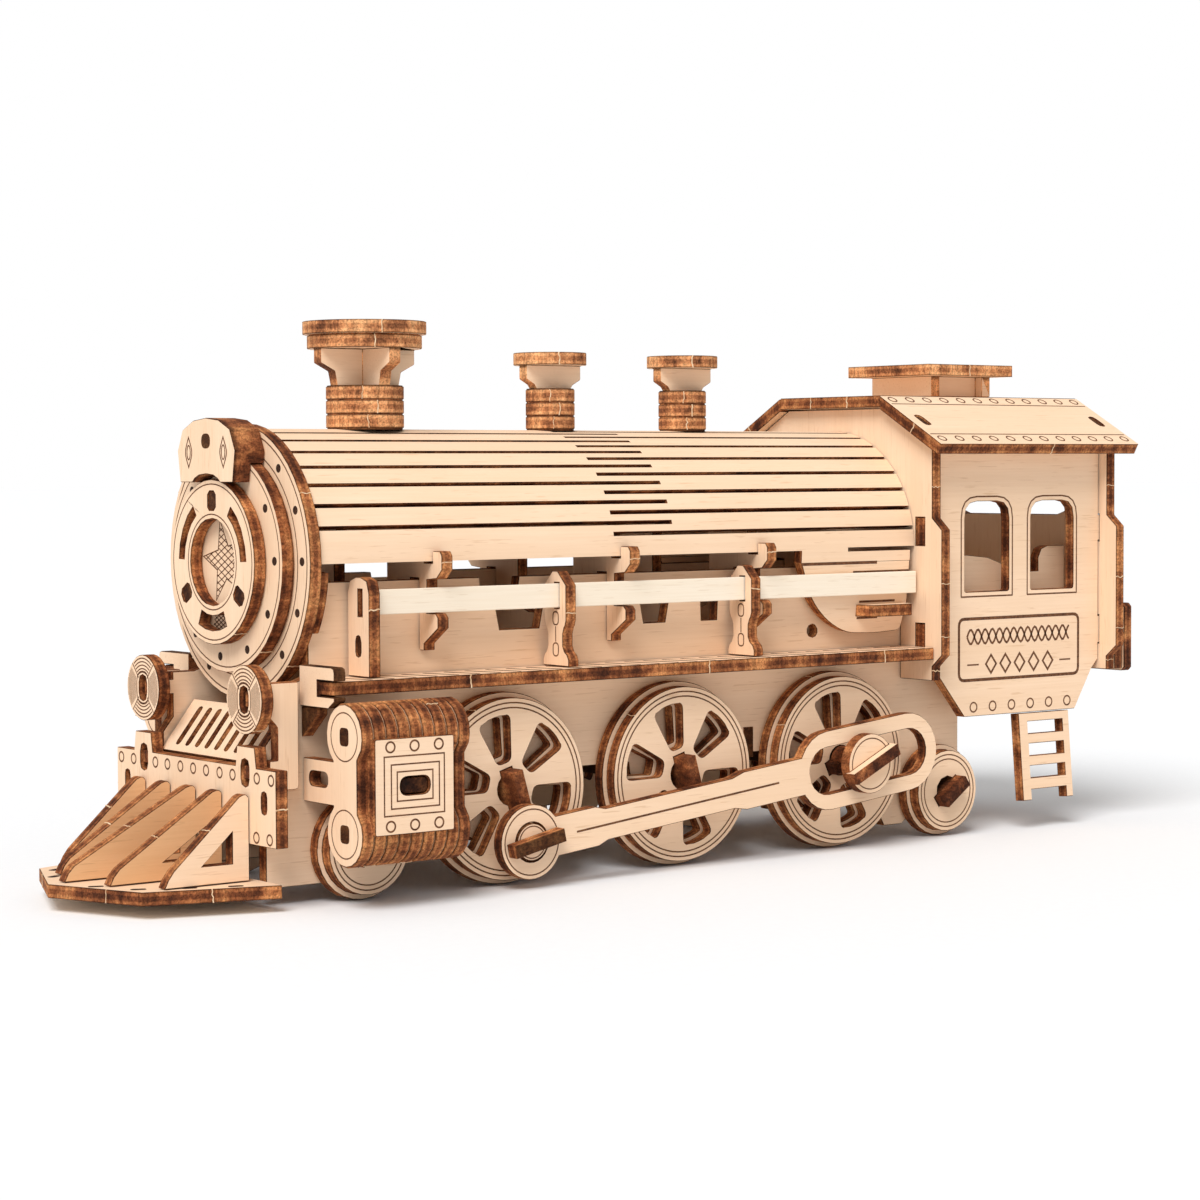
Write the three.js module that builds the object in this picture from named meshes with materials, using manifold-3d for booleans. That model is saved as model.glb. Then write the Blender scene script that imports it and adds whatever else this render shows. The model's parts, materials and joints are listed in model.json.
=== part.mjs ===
// Laser-cut plywood steam locomotive kit: plates, discs and axles slotted together.
// Millimetres, +Z up, nose toward -X, symmetric about Y = 0, wheels standing on Z = 0.
import * as THREE from "three";
import { mergeVertices } from "three/addons/utils/BufferGeometryUtils.js";
import Module from "manifold-3d";

const wasm = await Module();
wasm.setup();

// ---- driving dimensions ----
const T = 3.2; // plywood thickness
const FIT = 0.3; // air left where two pieces meet
const NOSE = -161.5; // tip of the pilot
const TAIL = 161.5; // rear face of the buffer board
const BOILER_Z = 79.5; // boiler axis
const BOILER_R = 31.8; // outside of the bent skin
const RING_R = 33; // smokebox ring
const DRIVE_X = [-54, 0, 54];
const DRIVE_R = 23.5; // flange disc
const DRIVE_FACE_R = 22.3;
const SMALL_X = { front: -94.9, rear: 93.5 };
const SMALL_R = 12.5;
const SMALL_FACE_R = 11.1;
const WHEEL_OUT = 33; // outer face of every wheel
const CRANK_R = 12.1; // crank pin below the first axle
const ROD_TILT = Math.atan2(CRANK_R, DRIVE_X[2] - DRIVE_X[0]);
const ROD_OUT = 41.6;
const FRAME_IN = 22.6; // side frames
const FRAME_OUT = FRAME_IN + T;
const FRAME_TOP = 75;
const BOARD_Z = 49.4; // underside of the running boards
const RAIL = { z0: 67.3, z1: 73.2, inner: 31.6, outer: 33.2 };
const CAB = { front: 82.3, rear: 150.9, half: 38.5, wide: 42.2, floor: 43.6 };
const ROOF = { x0: 79.5, x1: 157.1, ridge: 20.6, top: 121, eave: 44.8, low: 107.6 };
const DOME_X = [-17.2, 26.8];
const CHIMNEY_X = -74;
const SIDES = { left: -1, right: 1 };

// ---- flat outlines ----
const rect = (a0, b0, a1, b1) => [[a0, b0], [a1, b0], [a1, b1], [a0, b1]];

// A regular ring of points with a vertex straight down, so that a wheel touches the ground.
function circle(a, b, r, n) {
  return Array.from({ length: n }, (_, i) => {
    const t = -Math.PI / 2 + (2 * Math.PI * i) / n;
    return [a + r * Math.cos(t), b + r * Math.sin(t)];
  });
}

// Corners cut back by a setback and rounded; the setback is one number or one per corner.
function fillet(outline, setback, steps = 2) {
  const n = outline.length;
  return outline.flatMap((corner, i) => {
    const d = Array.isArray(setback) ? setback[i] : setback;
    if (!d) return [corner];
    const at = new THREE.Vector2(...corner);
    const start = new THREE.Vector2(...outline[(i + n - 1) % n]).sub(at).setLength(d).add(at);
    const end = new THREE.Vector2(...outline[(i + 1) % n]).sub(at).setLength(d).add(at);
    const bend = new THREE.QuadraticBezierCurve(start, at, end);
    return bend.getPoints(steps).map((p) => [p.x, p.y]);
  });
}

// An upright slot with round ends.
function oval(a, b, width, height) {
  const box = rect(a - width / 2, b - height / 2, a + width / 2, b + height / 2);
  return fillet(box, Math.min(width, height) / 2, 2);
}

// Turns an outline about a point.
function turned(outline, degrees, [a, b] = [0, 0]) {
  const t = THREE.MathUtils.degToRad(degrees);
  return outline.map(([p, q]) => [
    a + (p - a) * Math.cos(t) - (q - b) * Math.sin(t),
    b + (p - a) * Math.sin(t) + (q - b) * Math.cos(t),
  ]);
}

const mirrored = (outline) => outline.map(([a, b]) => [-a, b]);
const symmetric = (half) => [...half, ...mirrored(half).reverse()];

// ---- solids ----
function solidOf(geometry) {
  const bare = geometry.index ? geometry.toNonIndexed() : geometry;
  bare.deleteAttribute("normal");
  bare.deleteAttribute("uv");
  const merged = mergeVertices(bare, 1e-4);
  const vertProperties = new Float32Array(merged.attributes.position.array);
  const triVerts = new Uint32Array(merged.index.array);
  return new wasm.Manifold(new wasm.Mesh({ numProp: 3, vertProperties, triVerts }));
}

// An outline without repeated or in-line points, running anticlockwise.
function tidy(outline) {
  const points = outline.map(([a, b]) => new THREE.Vector2(a, b));
  const distinct = points.filter((p, i) => p.distanceTo(points[(i + 1) % points.length]) > 1e-3);
  const kept = distinct.filter((p, i) => {
    const before = distinct[(i + distinct.length - 1) % distinct.length];
    const after = distinct[(i + 1) % distinct.length];
    const turn = p.clone().sub(before).cross(after.clone().sub(p));
    return Math.abs(turn) > 1e-5;
  });
  return THREE.ShapeUtils.area(kept) < 0 ? kept.reverse() : kept;
}

function prism(outline, from, to, basis, shift) {
  const settings = { depth: to - from, bevelEnabled: false };
  const geometry = new THREE.ExtrudeGeometry(new THREE.Shape(tidy(outline)), settings);
  geometry.translate(0, 0, from);
  geometry.applyMatrix4(new THREE.Matrix4().makeBasis(...basis));
  geometry.translate(...shift);
  return solidOf(geometry);
}

function plate(outline, holes, depth, basis, shift) {
  const body = prism(outline, 0, depth, basis, shift);
  return holes.reduce((left, hole) => left.subtract(prism(hole, -1, depth + 1, basis, shift)), body);
}

const AX = new THREE.Vector3(1, 0, 0);
const AY = new THREE.Vector3(0, 1, 0);
const AZ = new THREE.Vector3(0, 0, 1);
const BACK = new THREE.Vector3(0, -1, 0);

// Plates lying in each plane, from one face coordinate over a depth.
const flat = (outline, holes, z, depth = T) => plate(outline, holes, depth, [AX, AY, AZ], [0, 0, z]);
const across = (outline, holes, x, depth = T) => plate(outline, holes, depth, [AY, AZ, AX], [x, 0, 0]);
const along = (outline, holes, y, depth = T) =>
  plate(outline, holes, depth, [AX, AZ, BACK], [0, y + depth, 0]);

// A lengthwise plate on one side, between two distances from the centre plane.
const beside = (outline, holes, side, inner, outer) =>
  along(outline, holes, side < 0 ? -outer : inner, outer - inner);

const box = (x0, y0, z0, x1, y1, z1) => flat(rect(x0, y0, x1, y1), [], z0, z1 - z0);
const join = (...solids) => solids.reduce((a, b) => a.add(b));
const cut = (body, ...tools) => tools.reduce((a, b) => a.subtract(b), body);

const group = new THREE.Group();
group.name = "plywood_locomotive";

function add(name, solid, colour = 0xe3c393) {
  const mesh = solid.getMesh();
  const points = new Float32Array(mesh.numVert * 3);
  for (let i = 0; i < mesh.numVert; i++) {
    points.set(mesh.vertProperties.subarray(i * mesh.numProp, i * mesh.numProp + 3), i * 3);
  }
  const geometry = new THREE.BufferGeometry();
  geometry.setAttribute("position", new THREE.BufferAttribute(points, 3));
  geometry.setIndex(new THREE.BufferAttribute(new Uint32Array(mesh.triVerts), 1));
  geometry.computeVertexNormals();
  const made = new THREE.Mesh(geometry, new THREE.MeshStandardMaterial({ color: colour }));
  made.name = name;
  group.add(made);
}

// ---- pilot and buffer beam ----
const PILOT_REAR = -120.3;
const pilotHalf = [[PILOT_REAR, 35.5], [-151, 25.5], [NOSE, 0]];
const pilotOutline = [...pilotHalf, ...pilotHalf.slice(0, 2).reverse().map(([x, y]) => [x, -y])];
add("pilot_base", flat(pilotOutline, [], T));

const RIB_PITCH = 12.3;
const RIB_REAR = -123.5;
const RIB_TIPS = [-145.5, -152.8, -158, -152.8, -145.5];
const RIB_OPENING = 7.3; // height of the triangular window
RIB_TIPS.forEach((tip, i) => {
  const base = 2 * T + FIT;
  const outline = [
    [tip, base], [RIB_REAR, base], [RIB_REAR, 26.7], [RIB_REAR - 2, 26.7], [tip + 1.5, base + 3],
  ];
  const grade = (26.7 - base - 3) / (RIB_REAR - 3.5 - tip);
  const [heel, sill] = [RIB_REAR - 4.4, 11];
  const opening = [[heel, sill], [heel, sill + RIB_OPENING], [heel - RIB_OPENING / grade, sill]];
  const middle = (i - 2) * RIB_PITCH;
  const body = along(fillet(outline, [0, 0, 0.6, 0.6, 1.2], 1), [opening], middle - T / 2);
  add("pilot_rib_" + (i + 1), body);
});

const BEAM_X = -123.2;
const beamHalf = [
  [0, 15.1], [37.9, 15.1], [37.9, 32.9], [29.2, 32.9], [28.4, 37.6], [20.7, 37.6], [19.9, 32.9],
  [0, 32.9],
];
const beamOutline = symmetric(beamHalf.slice(1, -1));
const BEAM_SLOT = (FRAME_IN + FRAME_OUT) / 2;
const beamHoles = [-1, 1].flatMap((s) => [
  oval(s * BEAM_SLOT, 31.5, 3.8, 6.6),
  oval(s * 32.65, 25.15, 2.6, 5.3),
]);
add("buffer_beam", across(beamOutline, beamHoles, BEAM_X));

// ---- sloping grille between the frames ----
const GRILLE_HALF = 21.9;
const GRILLE_RUN = [[-119.7, 33.3], [-110.4, 45.2]]; // its front face, seen from the side
const GRILLE_SLOTS = 8;
const GRILLE_PITCH = 4.6;
{
  const [[x0, z0], [x1, z1]] = GRILLE_RUN;
  const length = Math.hypot(x1 - x0, z1 - z0);
  const rise = new THREE.Vector3((x1 - x0) / length, 0, (z1 - z0) / length);
  const out = new THREE.Vector3().crossVectors(rise, AY);
  const slots = Array.from({ length: GRILLE_SLOTS }, (_, i) => {
    return oval(length / 2, (i - (GRILLE_SLOTS - 1) / 2) * GRILLE_PITCH, length - 4, 1.9);
  });
  const outline = rect(0, -GRILLE_HALF, length, GRILLE_HALF);
  const corner = [x0 - T * out.x, 0, z0 - T * out.z];
  add("grille", plate(outline, slots, T, [rise, AY, out], corner));
}

// ---- headlamps ----
const LAMP_Z = 48.4;
const LAMP_R = 8.04;
const LAMP_X = -123.3;
const LAMP_BACK = LAMP_X + T;
const lampPost = fillet(
  [[LAMP_BACK - 0.1, 52.3], [LAMP_BACK - 0.1, 45], [-117.4, 42], [-117.4, 34.3], [-119.6, 34.3],
    [-119.6, 27.3], [-111.8, 27.3], [-111.8, 52.3]],
  [0, 0, 0.6, 0.3, 0.3, 0.3, 1, 0.3],
  2,
);
for (const [name, s] of Object.entries(SIDES)) {
  const centre = s * BEAM_SLOT;
  const disc = across(circle(centre, LAMP_Z, LAMP_R, 28), [oval(centre, LAMP_Z, 4, 6.4)], LAMP_X);
  const post = beside(lampPost, [], s, FRAME_OUT + FIT, FRAME_OUT + FIT + T);
  add("headlamp_" + name, join(disc, post));
}

// ---- smokebox front ----
const RING_X = -110.5;
const MID_X = -114;
const DOOR_X = -117.5;
const PEG_RADIUS = 14.6;
const pegs = [90, 212, 328].map((angle) => {
  const upright = rect(PEG_RADIUS - 1.7, BOILER_Z - 1.3, PEG_RADIUS + 1.7, BOILER_Z + 1.3);
  return turned(upright, angle, [0, BOILER_Z]);
});
const pegSlots = [90, 212, 328].map((angle) => {
  const slot = rect(PEG_RADIUS - 2.3, BOILER_Z - 1.9, PEG_RADIUS + 2.3, BOILER_Z + 1.9);
  return turned(fillet(slot, 0.8, 1), angle, [0, BOILER_Z]);
});

// A curved slot in a disc, between two angles.
function arcSlot(radius, width, from, to, steps) {
  const at = (r, i) => {
    const t = THREE.MathUtils.degToRad(from + ((to - from) * i) / steps);
    return [r * Math.cos(t), BOILER_Z + r * Math.sin(t)];
  };
  const outer = Array.from({ length: steps + 1 }, (_, i) => at(radius + width / 2, i));
  const inner = Array.from({ length: steps + 1 }, (_, i) => at(radius - width / 2, steps - i));
  return [...outer, ...inner];
}
const doorHoles = [
  circle(0, BOILER_Z, 10.4, 24),
  arcSlot(14.6, 2.6, 2, 56, 4),
  arcSlot(14.6, 2.6, 124, 178, 4),
  arcSlot(14.6, 3.6, 246, 294, 4),
  ...pegSlots,
];
add("smokebox_ring", across(circle(0, BOILER_Z, RING_R, 48), [], RING_X));
const midDisc = across(circle(0, BOILER_Z, 26.5, 40), [], MID_X);
const pegSolids = pegs.map((peg) => across(peg, [], MID_X - T, T + 1));
add("smokebox_middle_disc", join(midDisc, ...pegSolids));
add("smokebox_door", across(circle(0, BOILER_Z, 19.7, 36), doorHoles, DOOR_X));

const PLATE_X = -118.9;
const nameHalf = [[6.6, 98.5], [12.4, 98.5], [13.6, 106], [11.2, 111], [6, 113.2], [0, 113.8]];
const archHalf = [[0, 100.5], [3.4, 100.2], [5.5, 99.4]];
const plateOutline = [
  ...nameHalf,
  ...mirrored(nameHalf.slice(0, -1)).reverse(),
  ...mirrored(archHalf).reverse().slice(0, -1),
  ...archHalf,
];
const numberFront = across(plateOutline, [], PLATE_X);
const numberBack = across(plateOutline, [], PLATE_X + T, RING_X - FIT - PLATE_X - T);
const midRoom = across(circle(0, BOILER_Z, 26.9, 40), [], MID_X - FIT, 10);
add("number_plate", cut(join(numberFront, numberBack), midRoom));

// ---- boiler skin: kerf-bent half tube with a hanging skirt at the firebox ----
const SKIN = { x0: -107, x1: 82 };
const SKIN_STEPS = 32;
const SKIRT_BEND = 6; // degrees past level before the skirt runs straight
function skinArc(radius, from, to, steps) {
  return Array.from({ length: steps + 1 }, (_, i) => {
    const t = THREE.MathUtils.degToRad(from + ((to - from) * i) / steps);
    return [radius * Math.sin(t), BOILER_Z + radius * Math.cos(t)];
  });
}
const halfTube = [
  ...skinArc(BOILER_R, -90, 90, SKIN_STEPS),
  ...skinArc(BOILER_R - T, 90, -90, SKIN_STEPS),
];
const skirtXZ = fillet(
  [[41.5, 82], [41.5, 77], [45.7, 66.4], [52.1, 60.3], [59.2, 57.1], [69.4, 56.7], [78.7, 57.2],
    [80.5, 65], [80.5, 82]],
  [0, 0, 3, 2, 2, 2, 1.5, 1, 0],
  1,
);
const bend = THREE.MathUtils.degToRad(SKIRT_BEND);
const down = [-Math.sin(bend), -Math.cos(bend)];
const outerKnee = skinArc(BOILER_R, 90 + SKIRT_BEND, 90 + SKIRT_BEND, 1)[0];
const innerKnee = skinArc(BOILER_R - T, 90 + SKIRT_BEND, 90 + SKIRT_BEND, 1)[0];
const SKIRT_LENGTH = 22;
const skirtYZ = [
  ...skinArc(BOILER_R, 88, 90 + SKIRT_BEND, 2),
  outerKnee.map((v, i) => v + down[i] * SKIRT_LENGTH),
  innerKnee.map((v, i) => v + down[i] * SKIRT_LENGTH),
  ...skinArc(BOILER_R - T, 90 + SKIRT_BEND, 88, 2),
];
const skirts = Object.values(SIDES).map((s) => {
  const hung = across(s < 0 ? mirrored(skirtYZ) : skirtYZ, [], 40, 44);
  const shaped = hung.intersect(along(skirtXZ, [], -40, 80));
  const wedge = fillet([[61.8, s * 29.5], [79.4, s * 29.5], [78, s * 35.5], [63.5, s * 35.5]], 0.5, 1);
  return shaped.add(flat(wedge, [], 61.4));
});
add("boiler_skin", join(across(halfTube, [], SKIN.x0, SKIN.x1 - SKIN.x0), ...skirts));

// ---- formers: cross plates inside the skin, with hooks that hold its lower edges ----
const FORMER_X = [-75.8, -19.1, 26];
const FORMER_R = BOILER_R - T - FIT;
const SLOT_IN = FRAME_IN - FIT;
const SLOT_OUT = FRAME_OUT + FIT;
const formerHalf = [
  ...skinArc(FORMER_R, 0, 88, 12).slice(1),
  [FORMER_R, 79], [32, 79], [32, 81.9], [35, 81.9], [35.8, 80.8], [35.8, 77.5], [33.6, 75.4],
  [29.4, 75], [29.2, 67], [33, 67], [34, 66], [34, 63.5], [28, 59.6], [28, 58], [SLOT_OUT, 58],
  [SLOT_OUT, FRAME_TOP + FIT], [SLOT_IN, FRAME_TOP + FIT], [SLOT_IN, 58],
];
const formerTop = [[0, BOILER_Z + FORMER_R]];
const formerOutline = [...formerTop, ...formerHalf, ...mirrored(formerHalf).reverse()];
const formerWindow = fillet(rect(-12, 64, 12, 88), 5, 2);
FORMER_X.forEach((x, i) => {
  add("boiler_former_" + (i + 1), across(formerOutline, [formerWindow], x));
});

// ---- side frames ----
const lobe = (x) => [
  [x - 12, 26.7], [x - 10, 14], [x - 6, 10.5], [x + 6, 10.5], [x + 10, 14], [x + 12, 26.7],
];
const frameOutline = [
  [-118.7, 4.2], [-84, 4.2], [-80.5, 9], [-79, 26.7],
  ...DRIVE_X.flatMap(lobe),
  [72, 26.7], [74, 8], [76.5, 3.5], [83, 3.5], [86, 5.5], [98, 5.5], [101, 9], [104.5, 19.7],
  [104.5, 47], [147, 47], [147, 78.8], [140, 78.8], [137.6, 78], [136.3, 75.5], [136.3, 71.7],
  [126, 71.7], [121, 74.4], [116, 76], [108, 76.8], [100, 76.8], [90, FRAME_TOP],
  [-46, FRAME_TOP], [-46.5, 72], [-57.5, 72], [-58, FRAME_TOP], [-106.9, FRAME_TOP],
  [-106.9, 53], [-110, 52], [-115.9, 52], [-115.9, 50.2],
  [-122, 50.2], [-122, 46.6], [-115.9, 46.6], [-115.9, 41], [-118.7, 37.5], [-118.7, 33],
  [-122.6, 33], [-122.6, 30], [-118.7, 30],
];
const frameWindows = [
  [[-52, 62], [-40, 62], [-38, 71.5], [-54, 71.5]],
  [[-7, 62], [0, 62], [2, 71.5], [-9, 71.5]],
  [[12, 62], [17.2, 62], [17.7, 71.5], [11.6, 71.5]],
];
const AXLE_R = 3;
const BORE_R = AXLE_R + 0.6;
const frameHoles = [
  ...frameWindows,
  ...DRIVE_X.map((x) => circle(x, DRIVE_R, BORE_R, 16)),
  ...Object.values(SMALL_X).map((x) => circle(x, SMALL_R, BORE_R, 16)),
  circle(50.3, 57.8, 1.8, 10),
];
for (const [name, s] of Object.entries(SIDES)) {
  add("side_frame_" + name, beside(frameOutline, frameHoles, s, FRAME_IN, FRAME_OUT));
}
const STRETCHER = { x0: -104, x1: 80, z: 38 };
const stretcherHalf = FRAME_IN - FIT;
add(
  "stretcher",
  box(STRETCHER.x0, -stretcherHalf, STRETCHER.z, STRETCHER.x1, stretcherHalf, STRETCHER.z + T),
);

// ---- running boards with their front brackets ----
const BOARD = { x0: -106.5, x1: 82, inner: FRAME_OUT + FIT, outer: 39.5 };
const BRACKET = { outer: 41.2, notch: 33.8, z0: 46.5, z1: 56, front: BOARD.x0 - 3 };
const bracket = fillet(
  [[BOARD.inner, BRACKET.z0], [38.6, BRACKET.z0], [BRACKET.outer, 48.2], [BRACKET.outer, BOARD_Z - FIT],
    [BRACKET.notch, BOARD_Z - FIT], [BRACKET.notch, BOARD_Z + T + FIT], [BRACKET.outer, BOARD_Z + T + FIT],
    [BRACKET.outer, BRACKET.z1], [BOARD.inner, BRACKET.z1]],
  [0, 0, 0, 0, 0, 0, 0, 1.2, 0],
  2,
);
const TONGUE = { x0: BOARD.x0 - 2.2, inner: BRACKET.notch - 0.1 }; // board's end, held in the notch
const RAIL_HOLE = rect(RAIL.inner - 0.25, RAIL.z0 - 0.25, RAIL.outer + 0.25, RAIL.z1 + 0.25);
const POST_X = [-96.6, -39.3, 20.4];
const BOARD_TOP = BOARD_Z + T;
const firstPost = fillet(rect(27.1, BOARD_TOP + FIT, 36, 76.2), [0, 0, 3.4, 3.4], 2);
const waistPost = fillet(
  [[26.6, BOARD_TOP + FIT], [37, BOARD_TOP + FIT], [37, 55.2], [34.6, 57], [34.6, 61.6], [36, 63.4],
    [36, 76.2], [27.1, 76.2], [27.1, 63.4], [28.6, 61.6], [28.6, 57], [26.6, 55.2]],
  [0, 0, 0.8, 0.8, 0.8, 0.8, 3.4, 3.4, 0.8, 0.8, 0.8, 0.8],
  1,
);
const firstPostHoles = [RAIL_HOLE, oval(31.5, 60, 2.4, 5)];
for (const [name, s] of Object.entries(SIDES)) {
  const aside = (outline) => (s < 0 ? mirrored(outline) : outline);
  const y0 = Math.min(s * BOARD.inner, s * BOARD.outer);
  const y1 = Math.max(s * BOARD.inner, s * BOARD.outer);
  const board = box(BOARD.x0, y0, BOARD_Z, BOARD.x1, y1, BOARD_TOP);
  const tongue = flat(
    [[TONGUE.x0, s * TONGUE.inner], [TONGUE.x0, s * BOARD.outer], [BOARD.x0 + 1, s * BOARD.outer],
      [BOARD.x0 + 1, s * TONGUE.inner]],
    [],
    BOARD_Z,
  );
  add("running_board_" + name, join(board, tongue, across(aside(bracket), [], BRACKET.front, T)));
  const railOutline = rect(-94, RAIL.z0, 81.5, RAIL.z1);
  add("handrail_" + name, beside(railOutline, [], s, RAIL.inner, RAIL.outer), 0xf1e3cb);
  POST_X.forEach((x, i) => {
    const holes = i === 0 ? firstPostHoles : [RAIL_HOLE];
    const body = across(aside(i === 0 ? firstPost : waistPost), holes.map(aside), x);
    add("rail_post_" + (i + 1) + "_" + name, body);
  });
}

// ---- cylinders: stacked plates with a side cover ----
const CYL = { x0: -108.6, x1: -78.7, lobe: 43.9, high: 40.3, low: 17.9, r: 7.8 };
const lobeArc = (z, from, to) =>
  Array.from({ length: 9 }, (_, i) => {
    const t = THREE.MathUtils.degToRad(from + ((to - from) * i) / 8);
    return [CYL.lobe + CYL.r * Math.cos(t), z + CYL.r * Math.sin(t)];
  });
const cylinderOutline = [
  ...lobeArc(CYL.low, -230, 20),
  [49.4, 23], [49.4, 35.2],
  ...lobeArc(CYL.high, -20, 230),
];
const armOutline = [[39.5, 24.1], [45, 24.1], [45, 34.3], [26.1, 34.3], [26.1, 24.1]];
const armHole = oval(32.7, 29.75, 8.2, 3.5);
for (const [name, s] of Object.entries(SIDES)) {
  const aside = (outline) => (s < 0 ? mirrored(outline) : outline);
  const core = across(aside(cylinderOutline), [], CYL.x0, CYL.x1 - CYL.x0);
  const arm = across(aside(armOutline), [aside(armHole)], CYL.x0);
  const cover = beside(rect(-105.9, 18, -84.2, 40.1), [], s, 49.2, 52.6);
  add("cylinder_" + name, join(core, arm, cover));
}

// ---- wheels ----
const SPOKES = 6;
const WHEEL_STEPS = 40;
const WINDOW_PHASE = -14; // degrees
const KEY = { long: 10, thick: T };
const WHEEL_MID = WHEEL_OUT - T;
const WHEEL_IN = WHEEL_MID - T;

function wheelWindow(angle, r0, r1, halfAngle, setback) {
  const at = (r, t) => [r * Math.cos(t), r * Math.sin(t)];
  const h = THREE.MathUtils.degToRad(halfAngle);
  const corners = [at(r0, -h * 1.08), at(r1, -h), at(r1 * 1.025, 0), at(r1, h), at(r0, h * 1.08)];
  return turned(fillet(corners, [setback, setback, 0, setback, setback], 1), angle);
}

// A round hub hole with a flat slot through it, turned with the key.
function keyhole(radius, long, thick, tilt) {
  const h = thick / 2;
  const across0 = Math.asin(h / radius);
  const arc = (from, to) =>
    Array.from({ length: 5 }, (_, i) => {
      const t = from + ((to - from) * i) / 4;
      return [radius * Math.cos(t), radius * Math.sin(t)];
    });
  return turned(
    [
      ...arc(across0, Math.PI - across0), [-long / 2, h], [-long / 2, -h],
      ...arc(Math.PI + across0, 2 * Math.PI - across0), [long / 2, -h], [long / 2, h],
    ],
    tilt,
  );
}
const moved = (outline, x, z) => outline.map(([a, b]) => [a + x, b + z]);
const keyBar = (x, z, tilt, side, inner, outer, long = KEY.long, thick = KEY.thick) =>
  beside(turned(rect(x - long / 2, z - thick / 2, x + long / 2, z + thick / 2), tilt, [x, z]), [],
    side, inner, outer);

const DRIVE_TILT = [106, 106, 25];
const PIN = { r: 4.5, keyLong: 15, keyTilt: 12 };
DRIVE_X.forEach((x, i) => {
  const hub = keyhole(4, KEY.long + 0.5, KEY.thick + 0.5, DRIVE_TILT[i]);
  const angles = Array.from({ length: SPOKES }, (_, k) => WINDOW_PHASE + (k * 360) / SPOKES);
  const faceHoles = [hub, ...angles.map((t) => wheelWindow(t, 7, 18, 15.5, 1.5))];
  const flangeHoles = [hub, ...angles.map((t) => wheelWindow(t, 8, 17.2, 12, 0))];
  for (const [name, s] of Object.entries(SIDES)) {
    const place = (outline) => moved(outline, x, DRIVE_R);
    const face = beside(place(circle(0, 0, DRIVE_FACE_R, WHEEL_STEPS)), faceHoles.map(place), s, WHEEL_MID,
      WHEEL_OUT);
    const flange = beside(place(circle(0, 0, DRIVE_R, WHEEL_STEPS)), flangeHoles.map(place), s, WHEEL_IN,
      WHEEL_MID);
    let wheel = face.add(flange);
    if (i === 0) {
      const z = DRIVE_R - CRANK_R;
      const pin = beside(circle(x, z, PIN.r, 24), [], s, WHEEL_MID, ROD_OUT + FIT);
      const key = keyBar(x, z, PIN.keyTilt, s, ROD_OUT + FIT, ROD_OUT + FIT + 3.6, PIN.keyLong);
      wheel = join(wheel, pin, key);
    }
    add("drive_wheel_" + (i + 1) + "_" + name, wheel);
  }
});

// Axles: a round bar between the wheels and a flat key through each hub.
const STUD = { r: 3.9, washer: 7.9, face: 45, keyOut: 47.6, keyLong: 17, keyTilt: 25 };
function axle(x, z, tilt, keyOut) {
  const bar = along(circle(x, z, AXLE_R, 16), [], -WHEEL_IN, 2 * WHEEL_IN);
  const keys = Object.values(SIDES).map((s) => keyBar(x, z, tilt, s, WHEEL_IN - 0.4, keyOut));
  return join(bar, ...keys);
}
DRIVE_X.forEach((x, i) => {
  let body = axle(x, DRIVE_R, DRIVE_TILT[i], i === 2 ? 36 : 37.9);
  if (i === 2) {
    for (const s of Object.values(SIDES)) {
      const stud = beside(circle(x, DRIVE_R, STUD.r, 20), [], s, WHEEL_OUT + FIT, STUD.face - 1);
      const washer = beside(circle(x, DRIVE_R, STUD.washer, 32), [], s, STUD.face - T, STUD.face);
      const key = keyBar(x, DRIVE_R, STUD.keyTilt, s, STUD.face - 1, STUD.keyOut, STUD.keyLong);
      body = join(body, stud, washer, key);
    }
  }
  add("drive_axle_" + (i + 1), body, 0xc48a4e);
});

// Small wheelsets: both wheels and their axle as one piece.
for (const [end, x] of Object.entries(SMALL_X)) {
  const out = end === "front" ? 35.5 : 37;
  const tilt = 35;
  const hub = moved(keyhole(4, KEY.long - 0.6, KEY.thick - 0.4, tilt), x, SMALL_R);
  const wheels = Object.values(SIDES).flatMap((s) => [
    beside(circle(x, SMALL_R, SMALL_FACE_R, 28), [hub], s, WHEEL_MID, WHEEL_OUT),
    beside(circle(x, SMALL_R, SMALL_R, 28), [hub], s, WHEEL_IN, WHEEL_MID),
  ]);
  add("small_wheelset_" + end, join(axle(x, SMALL_R, tilt, out), ...wheels));
}

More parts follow.
